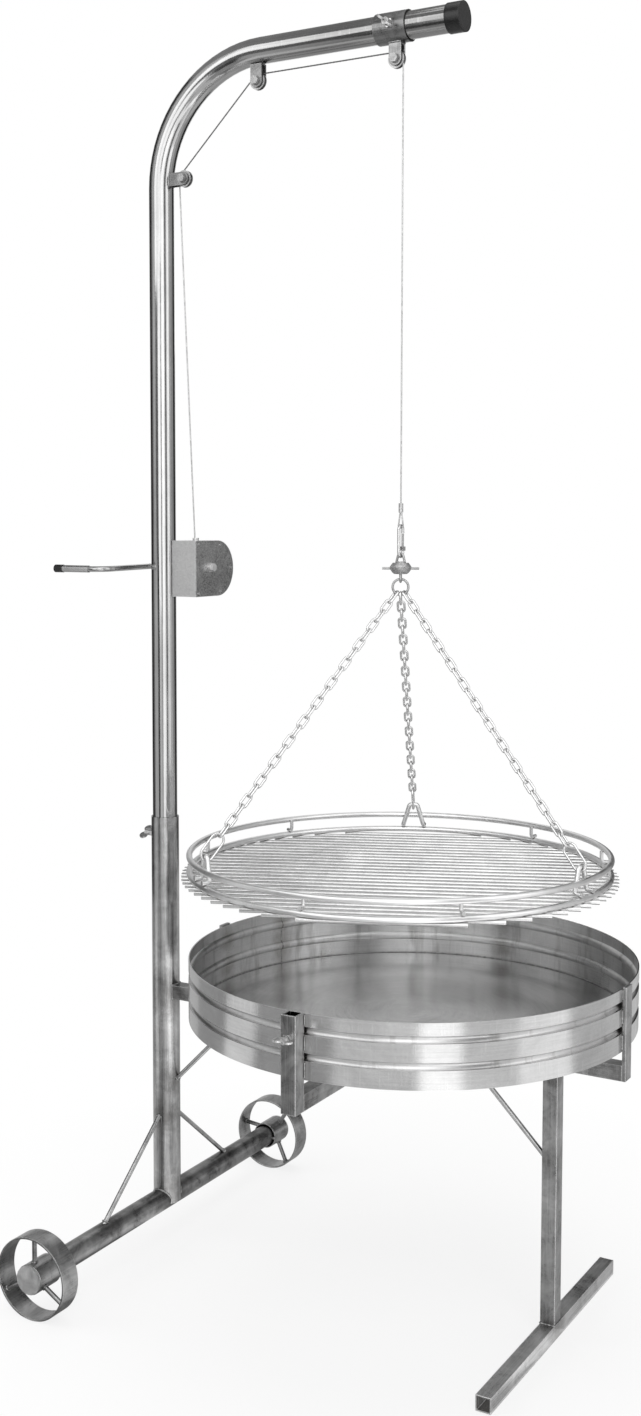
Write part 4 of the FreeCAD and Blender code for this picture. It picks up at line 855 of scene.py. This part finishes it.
# %% Plastic, lining and wire
RUN_SHADE_TONE, RUN_SHADE_SHARE = 0.15, 0.9
RUN_SHADE_LEVELS = (1.86, 1.93)
PALE, PALE_SHARE = 2.2, 0.35


def plain_finish(name, dark, light, rough, metallic, grain_size, depth, rounded=0.0, stain_and_shade=None):
    material, tree, shader = new_finish(name, metallic)
    weather = use(tree, weathering, Place=object_place(tree), Size=grain_size)
    edges_and_corners = use(tree, wear_and_shade, Width=rounded or EDGE_WIDTH)
    colour = mixed(tree, weather["Cloud"], dark, light)
    # Edges are laid paler, partly rubbed and partly a painted highlight.
    pale = [min(PALE * value, 1.0) for value in light[:3]] + [1]
    colour = veiled(tree, colour, edges_and_corners["Edge"], PALE_SHARE, pale)
    if stain_and_shade:
        colour = mixed(tree, stain_and_shade(tree), colour, grey(RUN_SHADE_TONE))
    tree.links.new(colour, shader.inputs["Base Color"])
    dull = spread(tree, weather["Speck"], 0.0, 1.0, rough * 0.85, rough * 1.15)
    tree.links.new(dull, shader.inputs["Roughness"])
    raised(tree, shader, weather["Speck"], RELIEF, depth, edges_and_corners["Rounded"] if rounded else None)
    return material


def shaded_runs(tree):
    """Marks the cable's runs above the mast's sheave, where shade is painted."""
    return spread(tree, axes_of(tree, object_place(tree))["Z"], *RUN_SHADE_LEVELS, 0.0, RUN_SHADE_SHARE)


black_plastic = plain_finish("black_plastic", dark=grey(0.004), light=grey(0.012), rough=0.20,
                             metallic=0.0, grain_size=90.0, depth=0.00004, rounded=0.004)
brake_lining = plain_finish("brake_lining", dark=(0.06, 0.05, 0.045, 1), light=(0.13, 0.11, 0.10, 1),
                            rough=0.85, metallic=0.0, grain_size=200.0, depth=0.0002)
wire_look = dict(dark=grey(0.42), light=grey(0.72), rough=0.40, metallic=1.0, grain_size=160.0,
                 depth=0.00005)
rope_steel = plain_finish("rope_steel", **wire_look)
shaded_rope = plain_finish("shaded_rope", stain_and_shade=shaded_runs, **wire_look)
tell(black_plastic, brake_lining, rope_steel, shaded_rope)

# %% [markdown]
# ## Who wears what
# Each piece of the model takes the finish that runs along its own length. A table says it best: the
# finish, and the pieces that wear it.

# %% Wardrobe
wardrobe = {
    mast_steel: ["mast_tube"],
    bright_along: ["crank_grip"],
    collar_steel: ["collar"],
    sleeve_steel: ["sleeve"],
    frame_upright: ["leg", "pan_straps", "mast_stop", "slider_bracket"],
    bracket_steel: ["mast_brackets"],
    brace_steel: ["beam_braces", "axle_braces", "crank_arm"],
    disc_steel: ["axle_end_discs", "crank_shaft", "winch_bushes"],
    post_steel: ["socket_post"],
    foot_steel: ["foot_bar"],
    frame_along: ["main_beam"],
    axle_steel: ["axle_tube"],
    frame_across: ["cross_beams", "near_wheel", "far_wheel", "axle_stop_pins"],
    pan_wall_steel: ["pan_wall"],
    pan_floor_steel: ["pan_floor"],
    grate_steel: ["grate_bars"],
    ring_steel: ["grate_rings", "grate_bows", "grate_posts"],
    zinc: ["frame_nuts", "winch_rivets", "collar_nut", "snap_hook", "drum", "sleeve_wing_bolt",
           "post_wing_bolt"],
    chain_zinc: ["chains", "end_links"],
    dull_zinc: ["collar_wing_bolt", "pulley_bolts", "slider_bolt", "snap_gate", "swivel_bar", "swivel_top",
                "swivel_bottom", "chain_ring"],
    sheave_steel: ["mast_sheave", "arm_sheave", "slider_sheave"],
    dull_galvanised: ["winch_cover", "winch_back_plate"],
    shell_zinc: ["winch_shell"],
    black_plastic: ["arm_cap", "crank_knob"],
    brake_lining: ["winch_brake"],
    rope_steel: ["cable_end", "cable_winding"],
}
worn_by = [name for names in wardrobe.values() for name in names]
bare = sorted(set(node) - set(worn_by))
print(len(wardrobe), "finishes for", len(worn_by), "nodes, left for the ropes:", bare)

# %% [markdown]
# Assigning to the slots keeps the mesh as it is, so the shapes and the movement stay untouched. The
# ropes are new meshes without a slot, so a finish is added to each.

# %% Dress the model


def dress(piece, material):
    piece.data.materials.clear()
    piece.data.materials.append(material)


for material, names in wardrobe.items():
    for name in names:
        for place in node[name].material_slots:
            place.material = material
for rope in ropes:
    dress(rope, rope_steel if rope is drop_rope else shaded_rope)
print("dressed", len(worn_by), "nodes and", len(ropes), "ropes")

# %% [markdown]
# ## Weld beads
# The frame is welded, and a weld shows as a raised, rippled line. Each ripple is where the welder
# paused for an instant. A bead is a thin tube along the seam whose radius swells with every ripple,
# so the same sweep that laid the cable's strands can lay it.

# %% Ripples of a bead
RIPPLE = 0.0016
BEAD_LEAST, BEAD_SWELL = 0.78, 0.16
DRIFTS = ((0.10, 911.0, 0.0), (0.08, 377.0, 1.3))
welds = []


def bead_section(size):
    def section(distance, turn):
        pause = abs(math.sin(math.pi * distance / RIPPLE))
        drift = sum(share * math.sin(distance * pace + start) for share, pace, start in DRIFTS)
        return size * (BEAD_LEAST + BEAD_SWELL * pause + drift)
    return section


def weld(name, points, size, body, closed=False):
    bead = swept_mesh(name, points, bead_section(size), closed)
    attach(bead, body)
    welds.append(bead)


print("a bead of 10 cm has", round(0.1 / RIPPLE), "ripples")

# %% [markdown]
# A seam is a row of points, close enough together to show the ripples. Most seams are straight lines
# from corner to corner. A rod's end is welded all round, so its seam is a circle square to the rod.

# %% Points of a seam
SEAM_STEP, RING_STEP = 0.0006, 0.0007
RING_LEAST = 24


def seam(*corners):
    """Closely spaced points along straight seams."""
    points = []
    for start, end in zip(corners, corners[1:]):
        start, end = Vector(start), Vector(end)
        steps = max(2, round((end - start).length / SEAM_STEP))
        points += [start.lerp(end, step / steps) for step in range(steps)]
    return points + [Vector(corners[-1])]


def rod_seam(middle, along, radius):
    """Points round a rod's end."""
    along = Vector(along).normalized()
    across = along.orthogonal().normalized()
    third = along.cross(across)
    steps = max(RING_LEAST, round(2 * math.pi * radius / RING_STEP))
    turns = [2 * math.pi * step / steps for step in range(steps)]
    return [Vector(middle) + spoke(across, third, turn) * radius for turn in turns]


print("a seam of 25 mm has", len(seam((0, 0, 0), (0, 0, 2 * HALF))), "points")

# %% [markdown]
# The square tubes meet in T joints, so their seams are rectangles. The leg stands on the foot bar
# and carries the main beam, and the two cross beams butt against the main beam's sides. A bead's
# middle line stands a little off the steel, so that the bead is proud of it.

# %% Square tube seams
LEG_BEAD, CROSS_BEAD = 0.0018, 0.0016
CORNER_GAP = 0.0005
BEAM_HIGH = 0.4735

leg_ring = [(-HALF, -HALF), (HALF, -HALF), (HALF, HALF), (-HALF, HALF), (-HALF, -HALF)]
for name, level in (("weld_leg_foot", FOOT_TOP + CORNER_GAP), ("weld_leg_top", BEAM_LOW - CORNER_GAP)):
    weld(name, seam(*[(x, y, level) for x, y in leg_ring]), LEG_BEAD, "frame")
beam_ring = [(-HALF, BEAM_LOW), (HALF, BEAM_LOW), (HALF, BEAM_HIGH), (-HALF, BEAM_HIGH), (-HALF, BEAM_LOW)]
for name, y in (("weld_cross_near", -HALF - CORNER_GAP), ("weld_cross_far", HALF + CORNER_GAP)):
    weld(name, seam(*[(PAN_X + x, y, z) for x, z in beam_ring]), CROSS_BEAD, "frame")
print("beads so far", len(welds))

# %% [markdown]
# Round tubes give curved seams. The main beam's end is shaped to the sleeve, and the sleeve's foot
# sits like a saddle on the axle. Both curves come from where the two surfaces meet.

# %% Sleeve seams
SADDLE_BEAD = 0.0020
SLEEVE_RADIUS = 0.025
AXLE_RADIUS = 0.020
AXLE_LEVEL = 0.06985
PROUD = 0.0004
SADDLE_HALF, SADDLE_TRIM = 60, 0.0002


def rise(radius, off):
    """How high a round tube's skin stands above its middle line, at a distance to the side."""
    return math.sqrt(radius ** 2 - off ** 2)


beam_seam = [Vector((MAST_X + rise(SLEEVE_RADIUS, point.y) + PROUD, point.y, point.z))
             for point in seam(*[(0, y, z) for y, z in beam_ring])]
weld("weld_beam_sleeve", beam_seam, LEG_BEAD, "frame")
for name, way in (("weld_saddle_near", -1), ("weld_saddle_far", 1)):
    saddle = []
    for step in range(2 * SADDLE_HALF + 1):
        x = (step / SADDLE_HALF - 1) * (AXLE_RADIUS - SADDLE_TRIM)
        y = way * (rise(SLEEVE_RADIUS, x) + PROUD)
        saddle.append(Vector((MAST_X + x, y, AXLE_LEVEL + rise(AXLE_RADIUS, x) + PROUD)))
    weld(name, saddle, SADDLE_BEAD, "frame")
print("beads so far", len(welds))

# %% [markdown]
# Four thin rods brace the frame. Each end was welded all the way round, so its seam is a small ring
# square to the rod. The ring follows from the rod's direction and its end point.

# %% Brace seams
ROD_RING = 0.0046
ROD_BEAD = 0.0016


def weld_rod(name, middle, along):
    weld(name, rod_seam(middle, along, ROD_RING), ROD_BEAD, "frame", True)


weld_rod("weld_brace_leg", (-HALF, 0, BRACE_LEVEL), (-1, 0, 1))
weld_rod("weld_brace_leg_top", (LEG_BRACE_X, 0, BEAM_LOW), (-1, 0, 1))
weld_rod("weld_brace_sleeve", (SLEEVE_FACE, 0, BRACE_LEVEL), (1, 0, 1))
weld_rod("weld_brace_beam", (SLEEVE_BRACE_X, 0, BEAM_LOW), (1, 0, 1))
for name, way in (("near", -1), ("far", 1)):
    fall = Vector((0, way * 0.195, -0.16615))
    weld_rod(f"weld_axle_brace_{name}_top", (MAST_X, way * 0.0245, 0.2279), fall)
    weld_rod(f"weld_axle_brace_{name}_foot", (MAST_X, way * 0.1855, 0.0907), fall)
print("beads so far", len(welds))

# %% [markdown]
# The pan hangs between four uprights. Each one is tacked to the wall along both of its edges, with a
# short bead on every flat band, and skips the grooves.

# %% Pan tacks
TACK_BEAD = 0.0015
TACK_TURN = 0.0018
BANDS = [(0.500, 0.522), (0.541, 0.562), (0.579, 0.594)]


def band_seam(angle, out, low, high):
    return seam(on_wall(angle, out, low), on_wall(angle, out, high))


edge = math.asin(HALF / PAN_RADIUS)
uprights = {"front": 0.0, "far": math.pi / 2, "mast": math.pi, "near": -math.pi / 2}
for name, angle in uprights.items():
    for side_name, way in (("left", -1), ("right", 1)):
        tack = angle + way * (edge + TACK_TURN)
        for number, band in enumerate(BANDS):
            line = band_seam(tack, PAN_RADIUS + PROUD, *band)
            weld(f"weld_{name}_{side_name}_{number}", line, TACK_BEAD, "frame")
print("beads so far", len(welds))

# %% [markdown]
# Inside the pan one seam runs round the floor and another closes the rolled wall.

# %% Seams inside the pan
FLOOR_BEAD, WALL_BEAD = 0.0011, 0.0008
FLOOR_STEPS = 1800
FLOOR_SEAM_IN, FLOOR_SEAM_LEVEL = 0.0026, 0.4986
WALL_SEAM_IN = 0.0022

floor_turns = [2 * math.pi * step / FLOOR_STEPS for step in range(FLOOR_STEPS)]
floor_seam = [on_wall(turn, PAN_RADIUS - FLOOR_SEAM_IN, FLOOR_SEAM_LEVEL) for turn in floor_turns]
weld("weld_pan_floor", floor_seam, FLOOR_BEAD, "frame", True)
for number, band in enumerate(BANDS):
    line = band_seam(SEAM_ANGLE, PAN_RADIUS - WALL_SEAM_IN, *band)
    weld(f"weld_pan_wall_{number}", line, WALL_BEAD, "frame")
print("beads so far", len(welds))

# %% [markdown]
# A wheel is a band of flat steel, three rods and a piece of tube. Its spokes are welded at the hub and
# at the rim. These beads ride on the wheel's own body, so they turn with it.

# %% Wheel seams
WHEEL_Y = 0.374
HUB_OUT, RIM_IN = SLEEVE_RADIUS + 0.0006, 0.06685 - 0.0006
SPOKE_RING = 0.0045

for body, way, first in (("near_wheel_body", -1, 90), ("far_wheel_body", 1, 55)):
    middle = Vector((MAST_X, way * WHEEL_Y, AXLE_LEVEL))
    for number in range(3):
        angle = math.radians(first + 120 * number)
        out = Vector((math.cos(angle), 0, math.sin(angle)))
        for name, distance in (("hub", HUB_OUT), ("rim", RIM_IN)):
            ring = rod_seam(middle + out * distance, out, SPOKE_RING)
            weld(f"weld_{body}_{name}_{number}", ring, ROD_BEAD, body, True)
print("beads so far", len(welds))

# %% [markdown]
# The brackets of the upper mast sheave and of the slider are welded to their tubes along both sides of
# their feet, and so is the winch's back plate to the mast.

# %% Bracket seams
BRACKET_BEAD = 0.0014
TUBE_RADIUS = 0.02225
FOOT_SIDE, PLATE_SIDE = 0.0086, 0.003
PLATE_PROUD = 0.0002
ARM_LEVEL = 2.112

mast_skin = MAST_X + rise(TUBE_RADIUS, FOOT_SIDE) + PROUD
collar_skin = ARM_LEVEL - rise(SLEEVE_RADIUS, FOOT_SIDE) - PROUD
plate = MAST_X + rise(TUBE_RADIUS, PLATE_SIDE) + PLATE_PROUD
for name, way in (("near", -1), ("far", 1)):
    y = way * FOOT_SIDE
    for label, body, start, end in (
            ("mast_bracket", "mast", (mast_skin, y, 1.904), (mast_skin, y, 1.926)),
            ("slider_bracket", "slider", (-0.3025, y, collar_skin), (-0.2805, y, collar_skin)),
            ("winch", "mast", (plate, way * PLATE_SIDE, 1.186), (plate, way * PLATE_SIDE, 1.278))):
        weld(f"weld_{label}_{name}", seam(start, end), BRACKET_BEAD, body)
print("beads", len(welds))

# %% [markdown]
# A bead is duller than the tube beside it and its ripples hold soot, so its finish is darker steel
# with strong specks.

# %% Bead finish
bead_steel = steel("bead_steel", even_grain, dark=0.14, light=0.56, rough=0.34, cloud_size=150.0,
                   cloud_share=0.8, grain_share=0.3, marks=0.0)
for bead in welds:
    dress(bead, bead_steel)
tell(bead_steel)

# %% [markdown]
# ## Floor, light and panels
# The picture has a white ground, so the floor and the room are pale and the light is soft. The floor
# looks white to the eye and in reflections, but it is a real surface for the lamps, so that it keeps
# the grill's shadow. Near the grill a little more of that real surface shows.

# %% Floor
GRILL_X = -0.35
FLOOR_SIZE = 40
SHADOW_NEAR, SHADOW_FAR, WHITE_NEAR = 0.40, 1.05, 0.80


def looking(tree):
    """One for rays of the eye and of reflections, zero for rays of light."""
    path = put(tree, "ShaderNodeLightPath", {}).outputs
    direct = sums(tree, "MAXIMUM", path["Is Camera Ray"], path["Is Glossy Ray"])
    return sums(tree, "MAXIMUM", direct, path["Is Transmission Ray"])


bpy.ops.mesh.primitive_plane_add(size=FLOOR_SIZE)
floor = bpy.context.object
floor.name = "floor"
floor_paint, tree, shader = new_finish("floor_paint", 0.0)
shader.inputs["Base Color"].default_value = grey(0.90)
shader.inputs["Roughness"].default_value = 0.9
shader.inputs["Specular IOR Level"].default_value = 0.1
white = put(tree, "ShaderNodeEmission", {"Color": grey(1.0), "Strength": 1.0}).outputs[0]
distance = distance_between(tree, object_place(tree), (GRILL_X, 0.0, 0.0))
whiteness = spread(tree, distance, SHADOW_NEAR, SHADOW_FAR, WHITE_NEAR, 1.0)
away = sums(tree, "MULTIPLY", looking(tree), whiteness)
both = put(tree, "ShaderNodeMixShader", {0: away, 1: shader.outputs[0], 2: white}).outputs[0]
tree.links.new(both, tree.nodes["Material Output"].inputs["Surface"])
dress(floor, floor_paint)
tell(floor_paint)

# %% [markdown]
# The room is the world behind everything. For the eye and for reflections it is plain white, and as a
# light it is dimmer, so that the lamps can still shape the grill. The Light Path node tells these rays
# apart.

# %% Room
ROOM_LIGHT = 0.45
room = bpy.data.worlds.new("room")
room.use_nodes = True
bpy.context.scene.world = room
tree = room.node_tree
plain = put(tree, "ShaderNodeBackground", {"Color": grey(1.0), "Strength": 1.0}).outputs[0]
dim = put(tree, "ShaderNodeBackground", {"Color": grey(1.0), "Strength": ROOM_LIGHT}).outputs[0]
both = put(tree, "ShaderNodeMixShader", {0: looking(tree), 1: dim, 2: plain}).outputs[0]
tree.links.new(both, tree.nodes["World Output"].inputs["Surface"])
print("room", room.name, "lights with", ROOM_LIGHT, "and looks white")

# %% [markdown]
# Three large lamps stand well away: the key at the camera's right, a weaker fill at the left and one
# above. A large lamp makes a soft shadow, and that is all the ground shows of them.

# %% Lamps
GRILL_MIDDLE = (GRILL_X, 0.0, 0.9)


def soft_lamp(name, spot, size, power):
    light = bpy.data.lights.new(name, "AREA")
    light.size = size
    light.energy = power
    lamp = bpy.data.objects.new(name, light)
    lamp.location = spot
    lamp.rotation_euler = (Vector(GRILL_MIDDLE) - Vector(spot)).to_track_quat("-Z", "Y").to_euler()
    bpy.context.scene.collection.objects.link(lamp)


soft_lamp("key_lamp", (1.6, -2.6, 3.4), size=2.2, power=60)
soft_lamp("fill_lamp", (-2.8, -1.6, 2.4), size=2.0, power=30)
soft_lamp("top_lamp", (-0.3, 0.6, 4.2), size=2.6, power=60)

# %% [markdown]
# Bare metal shows its surroundings, and in an all-white room it would have no edges. Photographers
# stand grey panels round the set for that. These are seen by reflections only: the eye, the shadows
# and the soft light pass through them. A panel is a strip of faces round the grill, and its angles are
# counted from the camera's side.

# %% Make a panel
PANEL_DISTANCE = 2.0
PANEL_STEP = 5
camera_side = math.degrees(math.atan2(camera.location.y, camera.location.x - GRILL_X))


def stand_panel(name, tone, start, end, corners):
    """A strip of faces from angle to angle. corners(out) gives its two corners in a direction."""
    shape = bmesh.new()
    columns = []
    steps = max(2, round((end - start) / PANEL_STEP))
    for step in range(steps + 1):
        angle = math.radians(camera_side + start + (end - start) * step / steps)
        out = Vector((math.cos(angle), math.sin(angle), 0))
        columns.append([shape.verts.new(corner) for corner in corners(out)])
    for first, second in zip(columns, columns[1:]):
        shape.faces.new((first[0], second[0], second[1], first[1]))
    panel = finished(name, shape)
    panel.visible_camera = False
    panel.visible_diffuse = False
    panel.visible_shadow = False
    panel.visible_transmission = False
    cloth, tree, _ = new_finish(f"{name}_cloth", 0.0)
    glow = put(tree, "ShaderNodeEmission", {"Color": grey(tone), "Strength": 1.0}).outputs[0]
    tree.links.new(glow, tree.nodes["Material Output"].inputs["Surface"])
    dress(panel, cloth)


print("the camera stands at", round(camera_side, 1), "degrees")

# %% [markdown]
# A round tube shows its whole surroundings as a row of upright stripes. So the stripes on the mast can
# be chosen: a panel at a certain angle from the camera makes a stripe at a certain place across the
# tube. Some panels change their tone at chest height: the mast's lower half shows what stands below it.

# %% Upright panels
CEILING = 3.3
PANEL_LOW = 0.25
CHEST = 1.05
ARM_LOW, ARM_HIGH = 1.2, 1.97
SHOULDER, HEAD = 1.8, 2.1


def curved_panel(name, start, end, low, high, tone):
    """A panel that stands on a circle round the grill."""
    stand_panel(name, tone, start, end, lambda out: [
        Vector((GRILL_X, 0, level)) + out * PANEL_DISTANCE for level in (low, high)])


PANELS = [
    ("back_left", -165, -137, PANEL_LOW, CEILING, 0.45), ("left_edge", -137, -110, PANEL_LOW, CEILING, 0.02),
    ("left_shade", -110, -96, PANEL_LOW, CEILING, 0.18), ("left", -96, -72, PANEL_LOW, CEILING, 0.55),
    ("left_low", -72, -62, PANEL_LOW, ARM_LOW, 0.5), ("left_line", -62, -46, PANEL_LOW, ARM_LOW, 0.06),
    ("arm_line", -72, -50, ARM_LOW, ARM_HIGH, 0.16), ("left_high", -72, -50, ARM_HIGH, CEILING, 1.6),
    ("left_half", -46, -25, PANEL_LOW, CHEST, 0.75), ("left_bright", -47, -25, CHEST, CEILING, 1.6),
    ("front_left", -25, -14, PANEL_LOW, HEAD, 0.45), ("front_left_high", -25, -14, HEAD, CEILING, 1.6),
    ("front_low", -14, 14, PANEL_LOW, CHEST, 1.35), ("front", -14, 14, CHEST, CEILING, 1.75),
    ("front_right", 14, 22, PANEL_LOW, CEILING, 0.8), ("right_line", 22, 36, PANEL_LOW, CEILING, 0.14),
    ("right_half", 36, 44, PANEL_LOW, CEILING, 0.8), ("right_low", 44, 69, PANEL_LOW, CHEST, 1.05),
    ("right_bright", 44, 69, CHEST, CEILING, 1.6), ("right", 69, 96, PANEL_LOW, CEILING, 0.6),
    ("right_shade", 96, 132, PANEL_LOW, CEILING, 0.38), ("right_edge", 132, 165, PANEL_LOW, CEILING, 0.04),
    ("back", 165, 195, PANEL_LOW, SHOULDER, 0.45), ("back_high", 165, 195, SHOULDER, CEILING, 1.0)]
for label, start, end, low, high, tone in PANELS:
    curved_panel(f"panel_{label}", start, end, low, high, tone)
print("upright panels", len(PANELS))

# %% [markdown]
# The arm and the grate look up, so they show the ceiling. Level sectors do for them what the upright
# panels do for the mast.

# %% Ceiling
CEILING_IN, CEILING_ARM = 0.45, 0.75


def flat_panel(name, start, end, inner, outer, level, tone, centre=GRILL_X):
    """A sector that lies level, for the surfaces that look up or down."""
    stand_panel(name, tone, start, end, lambda out: [
        Vector((centre, 0, level)) + out * radius for radius in (outer, inner)])


SECTORS = [
    ("middle", -180, 180, 0.0, CEILING_IN, 1.1), ("left", -195, -80, CEILING_IN, PANEL_DISTANCE, 0.28),
    ("front_left", -80, -45, CEILING_IN, CEILING_ARM, 1.1),
    ("arm", -80, -45, CEILING_ARM, PANEL_DISTANCE, 0.28),
    ("front", -45, 80, CEILING_IN, PANEL_DISTANCE, 1.1), ("right", 80, 165, CEILING_IN, PANEL_DISTANCE, 0.5)]
for label, start, end, inner, outer, tone in SECTORS:
    flat_panel(f"ceiling_{label}", start, end, inner, outer, CEILING, tone)
print("ceiling sectors", len(SECTORS))

# %% [markdown]
# Everything low shows the floor instead, and that is plain white. Mats on the floor give the pan, the
# sleeve, the leg and the foot bar their stripes. Each row names the middle of the mats, their inner and
# outer distance and their level, and then the sectors: from angle to angle, and the tone.

# %% Mats
MATS = {
    "mat": (GRILL_X, 0.6, 3.0, 0.002, [
        (-130, -98, 0.34), (-98, -76, 0.78), (-76, -34, 0.34), (-34, 4, 0.66), (4, 22, 1.45), (22, 47, 0.78),
        (47, 74, 1.05), (74, 100, 0.56), (100, 140, 0.62), (140, 230, 0.48)]),
    "mast_mat": (MAST_X, 0.03, 0.75, 0.003, [
        (-150, -90, 0.75), (-90, -68, 0.5), (-68, -50, 0.35), (-50, -16, 0.2), (-16, 3, 0.85), (3, 70, 1.05),
        (70, 92, 0.8), (92, 210, 0.45)]),
    "leg_mat": (0.0, 0.03, 0.5, 0.004, [(-150, -20, 0.5), (60, 190, 0.55)]),
    "corner_mat": (0.0, 0.10, 1.0, 0.005, [(-8, 25, 1.8)]),
}
for name, (centre, inner, outer, level, sectors) in MATS.items():
    for number, (start, end, tone) in enumerate(sectors):
        flat_panel(f"{name}_{number}", start, end, inner, outer, level, tone, centre)
print("mats", {name: len(row[-1]) for name, row in MATS.items()})

# %% [markdown]
# The tones above are meant as they are written, so the picture is shown without a film look.

# %% Plain view
bpy.context.scene.view_settings.view_transform = "Standard"
print("view transform", bpy.context.scene.view_settings.view_transform)
